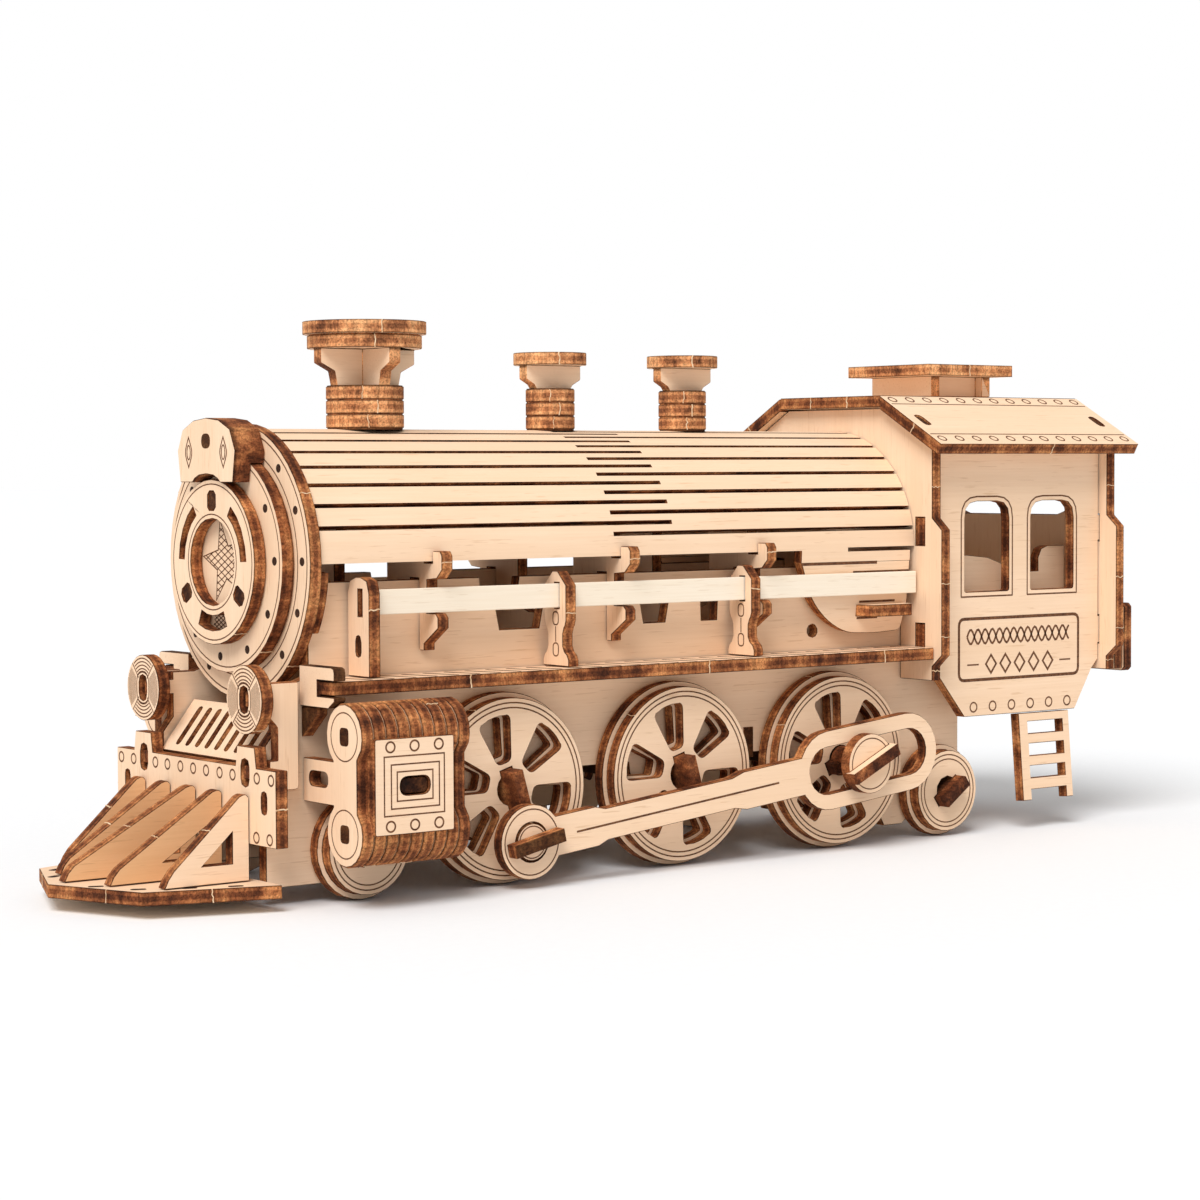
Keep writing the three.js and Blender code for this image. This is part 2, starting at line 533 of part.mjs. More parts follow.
// ---- coupling rods ----
const ROD = { ring: 9.1, bore: PIN.r + 0.4, half: 3.9, wide: 4.9, loop0: 32, loop1: 81, loop: 10.4 };
const SLOT = { x0: 35.5, x1: 77, half: 6.2 };
const along0 = (x) => (x - DRIVE_X[0]) / Math.cos(ROD_TILT); // distance along the rod from its ring
const rodLoop = (a0, a1, half, steps) => {
  const end = (centre, from) =>
    Array.from({ length: steps + 1 }, (_, i) => {
      const t = from + (Math.PI * i) / steps;
      return [centre + half * Math.cos(t), half * Math.sin(t)];
    });
  return [...end(a1 - half, -Math.PI / 2), ...end(a0 + half, Math.PI / 2)];
};
for (const [name, s] of Object.entries(SIDES)) {
  const place = (outline) => {
    const degrees = THREE.MathUtils.radToDeg(ROD_TILT);
    return moved(turned(outline, degrees), DRIVE_X[0], DRIVE_R - CRANK_R);
  };
  const sheet = (outline) => beside(place(outline), [], s, ROD_OUT - T, ROD_OUT);
  const shank = [
    [4, -ROD.wide], [20, -ROD.wide], [23, -ROD.half], [64, -ROD.half], [68, -ROD.wide],
    [92, -ROD.wide], [92, ROD.wide], [68, ROD.wide], [64, ROD.half], [23, ROD.half],
    [20, ROD.wide], [4, ROD.wide],
  ];
  const body = join(
    sheet(circle(0, 0, ROD.ring, 32)),
    sheet(shank),
    sheet(rodLoop(along0(ROD.loop0), along0(ROD.loop1), ROD.loop, 12)),
  );
  const bore = beside(place(circle(0, 0, ROD.bore, 24)), [], s, ROD_OUT - 2 * T, ROD_OUT + T);
  const loopHole = rodLoop(along0(SLOT.x0), along0(SLOT.x1), SLOT.half, 10);
  const slot = beside(place(loopHole), [], s, ROD_OUT - 2 * T, ROD_OUT + T);
  add("coupling_rod_" + name, cut(body, bore, slot));
}

// ---- cab ----
const slope = (ROOF.top - ROOF.low) / (ROOF.eave - ROOF.ridge);
const pitch = Math.atan(slope);
const under = (y) => ROOF.top - (y - ROOF.ridge) * slope - T / Math.cos(pitch) - FIT;
const wallHalf = [
  [CAB.half, CAB.floor], [CAB.half, 47.4], [CAB.wide, 50.6], [CAB.wide, 84.4], [CAB.half, 87.6],
  [CAB.half, under(CAB.half)], [ROOF.ridge - 0.6, ROOF.top - T - FIT],
];
const SIDE_PLATE = { inner: 32.3, outer: 35.5 };
const TABS = [[51, 58.8], [80.3, 87.6]];
const mortises = [-1, 1].flatMap((s) =>
  TABS.map(([z0, z1]) =>
    rect(s * (SIDE_PLATE.inner - 0.2), z0 - 0.2, s * (SIDE_PLATE.outer + 0.2), z1 + 0.2),
  ),
);
const frameNotch = [
  [SLOT_IN, CAB.floor], [SLOT_IN, FRAME_TOP + FIT], [SLOT_OUT, FRAME_TOP + FIT],
  [SLOT_OUT, CAB.floor],
];
const frontOutline = symmetric([...frameNotch, ...wallHalf]);
const rearWindow = fillet(rect(-23, 87.5, 23, 103), 4, 2);
add("cab_wall_front", across(frontOutline, mortises, CAB.front));
add("cab_wall_rear", across(symmetric(wallHalf), [...mortises, rearWindow], CAB.rear));

const SIDE = { x0: CAB.front + T + FIT, x1: CAB.rear - FIT, top: 108.7 };
const sideOutline = [
  [88.6, 43.3], [97.5, 32.7], [141.2, 32.7], [148.1, 43.9], [SIDE.x1, 46.5],
  [SIDE.x1, 51], [153.8, 51], [153.8, 58.8], [SIDE.x1, 58.8],
  [SIDE.x1, 80.3], [153.8, 80.3], [153.8, 87.6], [SIDE.x1, 87.6],
  [SIDE.x1, SIDE.top], [SIDE.x0, SIDE.top],
  [SIDE.x0, 87.6], [82.6, 87.6], [82.6, 80.3], [SIDE.x0, 80.3],
  [SIDE.x0, 58.8], [82.6, 58.8], [82.6, 51], [SIDE.x0, 51], [SIDE.x0, 46.5],
];
const cabWindows = [97.5, 123.2].map((x) => fillet(rect(x, 67, x + 17.2, 91.9), [0.8, 0.8, 4.7, 4.7], 3));
for (const [name, s] of Object.entries(SIDES)) {
  add("cab_side_" + name, beside(sideOutline, cabWindows, s, SIDE_PLATE.inner, SIDE_PLATE.outer));
}

// ---- roof and vent ----
add("roof_top", box(ROOF.x0, -ROOF.ridge, ROOF.top - T, ROOF.x1, ROOF.ridge, ROOF.top));
const fromRidge = (y, sink) => ROOF.top - (y - ROOF.ridge) * slope - sink;
const eaveIn = ROOF.eave - T * Math.sin(pitch);
const slopeOutline = [
  [ROOF.ridge + FIT, fromRidge(ROOF.ridge + FIT, 0)],
  [ROOF.eave, ROOF.low],
  [eaveIn, ROOF.low - T * Math.cos(pitch)],
  [ROOF.ridge + FIT, fromRidge(ROOF.ridge + FIT, T / Math.cos(pitch))],
];
for (const [name, s] of Object.entries(SIDES)) {
  const section = s < 0 ? mirrored(slopeOutline) : slopeOutline;
  const slots = [84.1, 152.5].map((x) => flat(oval(x, s * 33, 2.6, 5.2), [], 100, 20));
  add("roof_slope_" + name, cut(across(section, [], ROOF.x0, ROOF.x1 - ROOF.x0), ...slots));
}
const VENT = { x0: 102, x1: 135.1, half: 16.7, z: 127 };
const ventFeet = [107.3, 127.2].map((x) => box(x, -12.3, ROOF.top + FIT, x + T, 12.3, VENT.z + 1));
const ventSides = [-1, 1].map((s) => {
  const y = s < 0 ? -9.6 : 9.6 - T;
  return box(109, y, ROOF.top + FIT, 129, y + T, VENT.z + 1);
});
const ventCap = box(VENT.x0, -VENT.half, VENT.z, VENT.x1, VENT.half, VENT.z + T);
add("roof_vent", join(ventCap, ...ventFeet, ...ventSides));

// ---- ladders ----
// Each hangs from the cab side and leans out at its foot.
const LADDER = { x0: 118.6, x1: 138.6, z0: 7.8, z1: 32.2, lean: 5 };
const RUNG = { x0: 122, x1: 135.9, pitch: 6.2, gap: 3.4 };
const rungHoles = [1, 2, 3].map((i) => {
  const z = LADDER.z0 + i * RUNG.pitch;
  return rect(RUNG.x0, z - LADDER.z1, RUNG.x1, z + RUNG.gap - LADDER.z1);
});
const foot = LADDER.z0 - LADDER.z1;
const ladderOutline = [
  [LADDER.x0, foot], [RUNG.x0, foot], [RUNG.x0, foot + RUNG.gap - 0.4],
  [RUNG.x1, foot + RUNG.gap - 0.4], [RUNG.x1, foot], [LADDER.x1, foot], [LADDER.x1, 0],
  [LADDER.x0, 0],
];
for (const [name, s] of Object.entries(SIDES)) {
  const lean = THREE.MathUtils.degToRad(LADDER.lean);
  const up = new THREE.Vector3(0, -s * Math.sin(lean), Math.cos(lean));
  const inward = new THREE.Vector3().crossVectors(AX, up);
  const y = s < 0 ? -SIDE_PLATE.inner : SIDE_PLATE.outer;
  const hung = plate(ladderOutline, rungHoles, T, [AX, up, inward], [0, y, LADDER.z1]);
  add("ladder_" + name, hung);
}

// ---- chimney and domes: stacked discs, upright plates and round caps ----
const STACK_Z = BOILER_Z + BOILER_R + FIT;
function baseDiscs(x, r, n) {
  const discs = [0, 1, 2].map((i) => flat(circle(x, 0, r, n), [], STACK_Z + i * (T + FIT), T));
  const core = flat(circle(x, 0, r - 0.7, n), [], STACK_Z, 3 * T + 2 * FIT);
  return join(core, ...discs);
}
const collarHalf = [[9, 121], [9, 122], [9.7, 125.4], [13.7, 127.4], [13.7, 131.2]];
add(
  "chimney",
  join(
    baseDiscs(CHIMNEY_X, 9.6, 20),
    along(moved(symmetric(collarHalf), CHIMNEY_X, 0), [], -T / 2),
    across(symmetric(collarHalf), [], CHIMNEY_X - T / 2),
    flat(circle(CHIMNEY_X, 0, 14.2, 28), [], 131, T),
    flat(circle(CHIMNEY_X, 0, 13.6, 28), [], 134, 1),
    flat(circle(CHIMNEY_X, 0, 15.3, 28), [], 134.5, T),
  ),
);
const domeHalf = [[5.5, 121], [5.5, 122], [6.2, 123], [8.7, 124.4], [8.7, 128.2]];
DOME_X.forEach((x, i) => {
  const parts = [
    baseDiscs(x, 6.4, 16),
    along(moved(symmetric(domeHalf), x, 0), [], -T / 2),
    flat(circle(x, 0, 9.5, 24), [], 128, T),
  ];
  add("dome_" + (i + 1), join(...parts));
});

// ---- rear board ----
const rearPanel = fillet(rect(-CAB.half, CAB.floor, CAB.half, 82.6), [0, 0, 6, 6], 2);
const bufferBoard = fillet(rect(-CAB.half, 42.8, CAB.half, 62.2), 1, 1);
const REAR_X = CAB.rear + T + FIT;
const boardTabs = [-34.5, 0, 34.5].map((y) => box(REAR_X + 1, y - 4, 51.2, TAIL - 1, y + 4, 53.8));
add(
  "rear_board",
  join(across(rearPanel, [], REAR_X), across(bufferBoard, [], TAIL - T), ...boardTabs),
);

export default group;
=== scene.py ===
"""Plywood steam locomotive kit: the looks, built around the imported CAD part.

Lengths are in mm, down to the studio and the camera, which are in metres.
"""

import json
import math
import random

import bmesh
import bpy
import numpy as np
from mathutils import Matrix, Vector
from mathutils.geometry import tessellate_polygon

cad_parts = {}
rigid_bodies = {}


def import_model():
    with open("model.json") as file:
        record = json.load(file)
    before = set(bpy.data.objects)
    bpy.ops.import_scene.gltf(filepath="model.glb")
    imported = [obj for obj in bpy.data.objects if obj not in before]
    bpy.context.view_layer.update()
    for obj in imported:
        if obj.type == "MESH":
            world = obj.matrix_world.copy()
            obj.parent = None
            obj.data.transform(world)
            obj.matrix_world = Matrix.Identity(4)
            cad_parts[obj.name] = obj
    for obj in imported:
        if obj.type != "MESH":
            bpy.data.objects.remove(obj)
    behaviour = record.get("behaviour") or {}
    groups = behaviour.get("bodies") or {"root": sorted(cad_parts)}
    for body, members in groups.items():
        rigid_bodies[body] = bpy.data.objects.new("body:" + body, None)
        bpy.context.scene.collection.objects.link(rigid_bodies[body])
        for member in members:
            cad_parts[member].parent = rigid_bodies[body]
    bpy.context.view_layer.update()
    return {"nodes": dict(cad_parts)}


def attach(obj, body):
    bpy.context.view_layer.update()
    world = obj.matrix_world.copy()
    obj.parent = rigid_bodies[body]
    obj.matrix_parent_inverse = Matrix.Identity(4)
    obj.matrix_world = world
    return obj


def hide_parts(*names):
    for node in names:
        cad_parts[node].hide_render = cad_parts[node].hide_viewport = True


for leftover in list(bpy.data.objects):
    bpy.data.objects.remove(leftover)
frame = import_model()
NODES = frame["nodes"]
MM = 0.001
T = 3.2  # plywood thickness
SOFT_EDGE = 0.16  # how far a plate's sharp corners are taken off
SIDES = {"left": -1, "right": 1}
scene = bpy.context.scene

# Where the CAD's plates are. An X, Y or Z by itself is the place of a plate's outer face.
BEAM_X, RING_X, MIDDLE_X, DOOR_X, PLATE_X = -123.2, -110.5, -114.0, -117.5, -118.9
LAMP_X, LAMP_Y, LAMP_Z, LAMP_R = -123.3, 24.2, 48.4, 8.04
BOILER_Z, SKIN_R = 79.5, 31.8
CHIMNEY_X, DOME_1_X, DOME_2_X, STACK_Z = -74, -17.2, 26.8, 111.6
CAB_Y, COVER_Y, DECK_Z = 35.5, 52.6, 52.6
ROOF_Y, ROOF_Z, ROOF_RUN, ROOF_DROP = 20.6, 121, 24.2, 13.4  # a slope's upper edge, width and fall
ROOF_SLOPE = math.atan2(ROOF_DROP, ROOF_RUN)
POSTS_X = (-96.6, -39.3, 20.4)
CYL_X0, CYL_X1, LAYERS = -108.6, -78.7, 9
PITCH = (CYL_X1 - CYL_X0 - T) / (LAYERS - 1)
LOBE_Y, LOBE_HIGH, LOBE_LOW, LOBE_R = 43.9, 40.3, 17.9, 7.8
DRIVE_X, TRUCK_X, TRUCK_Z = [-54, 0, 54], {"front": -94.9, "rear": 93.5}, 12.5
WHEEL_Y, DRIVE_R, FACE_R, CRANK_R = 33.0, 23.5, 22.3, 12.1
ROD_Y, PIN_Y, STUD_Y, STUD_TILT = 41.6, 41.9, 45.0, 25
RIB_BACK, RIB_LOW, RIB_HIGH, RIB_PITCH = -125.5, 9.7, 26.7, 12.3


# ---- materials ----
class Shader:
    """Short-hand for adding and wiring the nodes of one material."""

    def __init__(self, name):
        self.material = bpy.data.materials.new(name)
        self.material.use_nodes = True
        self.tree = self.material.node_tree
        self.surface = self.tree.nodes["Principled BSDF"]
        self.coords = self.tree.nodes.new("ShaderNodeTexCoord").outputs["Object"]

    def put(self, socket, value):
        if isinstance(value, bpy.types.NodeSocket):
            self.tree.links.new(value, socket)
        else:
            socket.default_value = value

    def node(self, kind, inputs, output, **settings):
        made = self.tree.nodes.new(kind)
        for key, value in settings.items():
            setattr(made, key, value)
        for key, value in inputs.items():
            self.put(made.inputs[key], value)
        return made.outputs[output]

    def noise(self, scale, stretch=(1, 1, 1), detail=3, roughness=0.6):
        vector = self.node("ShaderNodeMapping", {"Vector": self.coords, "Scale": stretch}, "Vector")
        settings = {"Vector": vector, "Scale": scale, "Detail": detail, "Roughness": roughness}
        return self.node("ShaderNodeTexNoise", settings, "Fac")

    def ramp(self, factor, stops):
        made = self.tree.nodes.new("ShaderNodeValToRGB")
        elements = made.color_ramp.elements
        while len(elements) < len(stops):
            elements.new(0.5)
        for element, (place, colour) in zip(elements, stops):
            element.position = place
            grey = isinstance(colour, (int, float))
            element.color = (colour, colour, colour, 1) if grey else (*colour, 1)
        self.put(made.inputs["Fac"], factor)
        return made.outputs["Color"]

    def mix(self, factor, a, b, blend="MIX"):
        rgba = [v if isinstance(v, bpy.types.NodeSocket) else (*v, 1) for v in (a, b)]
        inputs = {0: factor, 6: rgba[0], 7: rgba[1]}
        return self.node("ShaderNodeMix", inputs, 2, data_type="RGBA", blend_type=blend)

    def finish(self, colour, roughness, height=None, strength=0.1, depth=0.1, specular=0.25):
        self.put(self.surface.inputs["Base Color"], colour)
        self.put(self.surface.inputs["Roughness"], roughness)
        self.put(self.surface.inputs["Specular IOR Level"], specular)
        if height is not None:
            inputs = {"Strength": strength, "Distance": depth * MM, "Height": height}
            self.put(self.surface.inputs["Normal"], self.node("ShaderNodeBump", inputs, "Normal"))
        return self.material


def squeezed(axis, amount):
    return tuple(amount if i == axis else 1 for i in range(3))


BIRCH = [(0.91, 0.665, 0.465), (0.80, 0.545, 0.345), (0.62, 0.365, 0.19)]
# Painted shade with warm bounced light: a warmer, darker birch for the pilot ribs beyond the near
# one, which stand in the shade of the ribs before them.
RIB_SHADE_TONES = [(0.80, 0.50, 0.27), (0.68, 0.39, 0.19), (0.48, 0.26, 0.12)]


def birch(name, grain, tones=BIRCH):
    """Bare birch face: fine grain lines, broad bands and short pores, all along one axis."""
    s = Shader(name)
    light, dark, pore = tones
    bands = s.ramp(s.noise(75, squeezed(grain, 0.10), 3), [(0.35, 0), (0.72, 1)])
    lines = s.ramp(s.noise(1500, squeezed(grain, 0.025), 4), [(0.38, 0), (0.66, 1)])
    pores = s.ramp(s.noise(2300, squeezed(grain, 0.05), 2, 0.5), [(0.64, 0), (0.70, 1)])
    clouds = s.ramp(s.noise(28, (1, 1, 1), 2), [(0.4, 0), (0.7, 1)])
    colour = light
    for mask, share, tone in (
        (bands, 0.55, dark), (lines, 0.38, dark), (clouds, 0.22, dark), (pores, 0.42, pore)
    ):
        factor = s.node("ShaderNodeMath", {0: mask, 1: share}, 0, operation="MULTIPLY")
        colour = s.mix(factor, colour, tone)
    return s.finish(colour, 0.62, lines, 0.12, 0.08)


# Tones of a burnt edge, by the noise's value: the darkest scorch first.
CHAR = [
    (0.29, (0.060, 0.018, 0.008)),
    (0.40, (0.175, 0.052, 0.019)),
    (0.49, (0.350, 0.120, 0.042)),
    (0.63, (0.640, 0.270, 0.098)),
]
# Painted light: lighter, oranger burn tones for the stacks' edges, standing in for the front light
# that falls on them; the burn under it is real.
LIT_CHAR_TONES = [
    (0.27, (0.120, 0.042, 0.018)),
    (0.37, (0.340, 0.125, 0.050)),
    (0.46, (0.620, 0.260, 0.105)),
    (0.60, (0.920, 0.470, 0.210)),
]
# Across one sheet's thickness: dark rims, and a middle ply that scorches deeper.
BORDER = [(0.0, 0.22), (0.05, 0.42), (0.11, 1.0), (0.89, 1.0), (0.95, 0.42), (1.0, 0.22)]
MIDDLE_PLY = [(0.26, 0.0), (0.36, 0.085), (0.64, 0.085), (0.74, 0.0)]


def burnt(name, across, tones=CHAR):
    """Laser-cut plywood edge: striations across the sheet, three plies, charred blotches."""
    s = Shader(name)
    ply = s.node("ShaderNodeAttribute", {}, "Fac", attribute_name="ply")
    blotch = s.noise(110, squeezed(across, 0.6), 5, 0.7)
    shift = s.ramp(ply, MIDDLE_PLY)
    blotch = s.node("ShaderNodeMath", {0: blotch, 1: shift}, 0, operation="SUBTRACT")
    streak = s.ramp(s.noise(1100, squeezed(across, 0.12), 3), [(0.33, 0.68), (0.62, 1.12)])
    speck = s.ramp(s.noise(1900, (1, 1, 1), 3, 0.7), [(0.38, 0.52), (0.56, 1.12)])
    colour = s.ramp(blotch, tones)
    for layer in (streak, speck, s.ramp(ply, BORDER)):
        colour = s.mix(1.0, colour, layer, "MULTIPLY")
    return s.finish(colour, 0.75, streak, 0.25, 0.15, 0.12)


def speckled(name, light, dark):
    """Two tones in fine specks, for engraved lines, torn tabs, and the painted shade and char that
    fill holes.
    """
    s = Shader(name)
    fac = s.ramp(s.noise(900, (1, 1, 1), 3), [(0.35, 0), (0.65, 1)])
    return s.finish(s.mix(fac, dark, light), 0.8, fac, 0.15, 0.1)


# By the axis that a plate faces along.
FACE = {0: birch("birch_front", 2), 1: birch("birch_side", 0), 2: birch("birch_top", 0)}
EDGE = {i: burnt("burnt_edge_" + "xyz"[i], i) for i in range(3)}
FRONT_PLATE, SIDE_PLATE, FLAT_PLATE = ([FACE[i], EDGE[i]] for i in range(3))
LIT_BURNT_EDGE = burnt("toasted_edge", 2, LIT_CHAR_TONES)
# Painted highlight: a paler birch for the handrails, standing in for their brightly lit faces.
LIT_RAIL_BIRCH = birch("pale_strip", 0, [(0.90, 0.79, 0.64), (0.83, 0.69, 0.52), (0.70, 0.54, 0.38)])
SHADED_RIB_BIRCH = birch("smoked_birch", 0, RIB_SHADE_TONES)
LINE = speckled("engraved_line", (0.190, 0.082, 0.036), (0.080, 0.030, 0.014))
# Painted shade: near-black patches in place of holes, for the shade inside them and their charred
# walls.
HOLE_SHADE = speckled("charred_hole", (0.060, 0.024, 0.011), (0.018, 0.007, 0.004))
NICK = speckled("torn_tab", (0.86, 0.66, 0.44), (0.62, 0.38, 0.20))


# ---- mesh helpers ----
class Face:
    """A plate's face: two axes in it and the way out of it."""

    def __init__(self, origin, u, v, n):
        self.origin, self.u, self.v, self.n = (Vector(a) for a in (origin, u, v, n))

    def at(self, a, b, h=0.0):
        return self.origin + self.u * a + self.v * b + self.n * h


def side_face(s, y):
    return Face((0, s * y, 0), (1, 0, 0), (0, 0, 1), (0, s, 0))


def front_face(x):
    return Face((x, 0, 0), (0, 1, 0), (0, 0, 1), (-1, 0, 0))


def top_face(z):
    return Face((0, 0, z), (1, 0, 0), (0, 1, 0), (0, 0, 1))


def roof_face(s):
    """A roof slope: distance along X, and distance down from its upper edge."""
    c, sn = math.cos(ROOF_SLOPE), math.sin(ROOF_SLOPE)
    return Face((0, s * ROOF_Y, ROOF_Z), (1, 0, 0), (0, s * c, -sn), (0, s * sn, c))


def polar(a, b, r, t):
    return a + r * math.cos(t), b + r * math.sin(t)


def arc(a, b, r, degrees):
    return [polar(a, b, r, math.radians(d)) for d in degrees]


def ring_points(a, b, rx, ry=None, n=24):
    ry = rx if ry is None else ry
    steps = [2 * math.pi * i / n for i in range(n)]
    return [(a + rx * math.cos(t), b + ry * math.sin(t)) for t in steps]


def rect(a0, b0, a1, b1):
    return [(a0, b0), (a1, b0), (a1, b1), (a0, b1)]


def fillet(outline, setback, steps=4):
    """Corners cut back by a setback and rounded; the setback is one number or one per corner."""
    out = []
    for i, corner in enumerate(outline):
        d = setback[i] if isinstance(setback, (list, tuple)) else setback
        p = Vector(corner)
        if not d:
            out.append(tuple(p))
            continue
        before, after = Vector(outline[i - 1]) - p, Vector(outline[(i + 1) % len(outline)]) - p
        start, end = p + before.normalized() * d, p + after.normalized() * d
        for k in range(steps + 1):
            t = k / steps
            out.append(tuple(start * (1 - t) ** 2 + p * 2 * t * (1 - t) + end * t * t))
    return out


def oval(a, b, width, height, steps=5):
    box = rect(a - width / 2, b - height / 2, a + width / 2, b + height / 2)
    return fillet(box, min(width, height) / 2 - 0.01, steps)


def turned(points, degrees, centre=(0, 0)):
    c, s = math.cos(math.radians(degrees)), math.sin(math.radians(degrees))
    a, b = centre
    return [(a + (p - a) * c - (q - b) * s, b + (p - a) * s + (q - b) * c) for p, q in points]


def moved(points, a, b):
    return [(p + a, q + b) for p, q in points]


def aside(points, s):
    return [(s * p, q) for p, q in points]


def area(points):
    return sum(
        p[0] * q[1] - q[0] * p[1] for p, q in zip(points, points[1:] + points[:1])
    )


def inset_loop(points, distance):
    """A loop moved to its left by a distance: inward for an outline, outward for a hole."""
    out = []
    for i, point in enumerate(points):
        p = Vector(point)
        into = (p - Vector(points[i - 1])).normalized()
        away = (Vector(points[(i + 1) % len(points)]) - p).normalized()
        way = into + away
        way = way.normalized() if way.length > 1e-6 else away
        stretch = distance / max(0.45, way.dot(away))
        out.append((p.x - way.y * stretch, p.y + way.x * stretch))
    return out


class Builder:
    """Gathers closed bodies into one mesh, with a material and a ply depth for each."""

    def __init__(self):
        self.points, self.faces, self.slots, self.ply = [], [], [], []

    def add(self, points, ply):
        start = len(self.points)
        self.points += [tuple(p) for p in points]
        self.ply += ply
        return start

    def quad(self, corners, slot):
        self.faces.append(tuple(corners))
        self.slots.append(slot)

    def prism(self, face, outline, holes=(), low=-T, high=0.0, slots=(0, 1), chamfer=SOFT_EDGE):
        """A plate between two heights over a face, with holes cut through and burnt corners."""
        loops = [outline if area(outline) > 0 else outline[::-1]]
        loops += [h if area(h) < 0 else h[::-1] for h in map(list, holes)]
        levels = [(low, 0.0, 0.0), (high, 0.0, 1.0)]
        if chamfer:
            share = chamfer / (high - low)
            levels = [(low, chamfer, 0.0), (low + chamfer, 0.0, share),
                      (high - chamfer, 0.0, 1 - share), (high, chamfer, 1.0)]
        rings = []
        for height, inset, ply in levels:
            points = [p for loop in loops for p in (inset_loop(loop, inset) if inset else loop)]
            rings.append(self.add([face.at(a, b, height) for a, b in points], [ply] * len(points)))
        flat = [inset_loop(loop, levels[0][1]) if levels[0][1] else loop for loop in loops]
        for tri in tessellate_polygon([[Vector((a, b, 0)) for a, b in loop] for loop in flat]):
            self.quad([rings[-1] + i for i in tri], slots[0])
            self.quad([rings[0] + i for i in reversed(tri)], slots[0])
        for lower, upper in zip(rings, rings[1:]):
            first = 0
            for loop in loops:
                n = len(loop)
                for i in range(n):
                    a, b = first + i, first + (i + 1) % n
                    self.quad([lower + a, lower + b, upper + b, upper + a], slots[1])
                first += n
        return self

    def strip(self, face, points, width=0.36, closed=False, rise=0.03, sink=0.12):
        """A thin closed ribbon along a line on a face."""
        count = len(points)
        vectors = [Vector(p) for p in points]
        made = []
        for i, p in enumerate(vectors):
            before = vectors[i - 1] if closed or i else None
            after = vectors[(i + 1) % count] if closed or i < count - 1 else None
            into = (p - before).normalized() if before is not None else None
            out = (after - p).normalized() if after is not None else None
            way = (into + out) if into is not None and out is not None else (into or out)
            way = way.normalized() if way.length > 1e-6 else out
            bend = max(0.5, way.dot(out if out is not None else into))
            off = Vector((-way.y, way.x)) * (width / 2 / bend)
            left, right = p + off, p - off
            made += [face.at(*left, rise), face.at(*right, rise)]
            made += [face.at(*right, -sink), face.at(*left, -sink)]
        start = self.add(made, [0.5] * len(made))
        for i in range(count if closed else count - 1):
            a, b = start + 4 * i, start + 4 * ((i + 1) % count)
            for k in range(4):
                self.quad([a + k, b + k, b + (k + 1) % 4, a + (k + 1) % 4], 0)
        if not closed:
            self.quad([start + k for k in range(4)], 0)
            last = start + 4 * (count - 1)
            self.quad([last + k for k in (3, 2, 1, 0)], 0)
        return self

    def ring(self, face, a, b, r, width=0.42, n=20):
        return self.strip(face, ring_points(a, b, r, n=n), width, True)

    def line(self, face, a, b, width=0.36):
        return self.strip(face, [a, b], width)

    def spot(self, face, outline, rise=0.02, sink=0.3):
        """A filled patch, level with the face, in place of a hole: the dark material it is given
        paints the shade inside the hole and its charred walls.
        """
        return self.prism(face, outline, (), -sink, rise, (0, 0), 0)

    def make(self, name, materials, body, slot, replaces=()):
        mesh = bpy.data.meshes.new(name)
        mesh.from_pydata([[c * MM for c in p] for p in self.points], [], self.faces)
        for material in materials:
            mesh.materials.append(material)
        mesh.polygons.foreach_set("material_index", self.slots)
        mesh.attributes.new("ply", "FLOAT", "POINT").data.foreach_set("value", self.ply)
        bm = bmesh.new()
        bm.from_mesh(mesh)
        bmesh.ops.recalc_face_normals(bm, faces=bm.faces)
        bm.to_mesh(mesh)
        bm.free()
        piece = bpy.data.objects.new(name, mesh)
        scene.collection.objects.link(piece)
        piece.modifiers.new("smooth", "NODES").node_group = SMOOTH
        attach(piece, body)
        if replaces:
            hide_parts(*replaces)
        return piece


def smooth_group():
    """Geometry nodes that shade smooth across shallow edges only."""
    group = bpy.data.node_groups.new("smooth_by_angle", "GeometryNodeTree")
    group.interface.new_socket("Geometry", in_out="INPUT", socket_type="NodeSocketGeometry")
    group.interface.new_socket("Geometry", in_out="OUTPUT", socket_type="NodeSocketGeometry")
    new, wire = group.nodes.new, group.links.new
    start, end = new("NodeGroupInput"), new("NodeGroupOutput")
    faces, edges = new("GeometryNodeSetShadeSmooth"), new("GeometryNodeSetShadeSmooth")
    faces.domain, edges.domain = "FACE", "EDGE"
    angle, compare = new("GeometryNodeInputMeshEdgeAngle"), new("FunctionNodeCompare")
    compare.data_type, compare.operation = "FLOAT", "LESS_THAN"
    compare.inputs[1].default_value = math.radians(26)
    wire(start.outputs[0], faces.inputs["Mesh" if "Mesh" in faces.inputs else "Geometry"])
    wire(faces.outputs[0], edges.inputs["Mesh" if "Mesh" in edges.inputs else "Geometry"])
    wire(angle.outputs["Unsigned Angle"], compare.inputs[0])
    wire(compare.outputs[0], edges.inputs["Shade Smooth"])
    wire(edges.outputs[0], end.inputs[0])
    return group


SMOOTH = smooth_group()
# These keep their triangles, because of their many holes.
MANY_HOLES = ("side_frame", "cab_wall", "smokebox_door")


def soften(piece):
    """Joins a CAD node's triangles into flat faces, trims its cut corners and shades it."""
    piece.modifiers.new("weld", "WELD").merge_threshold = 0.005 * MM
    if not piece.name.startswith(MANY_HOLES):
        flat = piece.modifiers.new("flat_faces", "DECIMATE")
        flat.decimate_type = "DISSOLVE"
        flat.angle_limit = math.radians(0.6)
        flat.delimit = {"MATERIAL"}
    bevel = piece.modifiers.new("burnt_corner", "BEVEL")
    bevel.width = SOFT_EDGE * MM
    bevel.segments = 1
    bevel.limit_method = "ANGLE"
    bevel.angle_limit = math.radians(30)
    bevel.use_clamp_overlap = False
    bevel.material = 1
    piece.modifiers.new("smooth", "NODES").node_group = SMOOTH


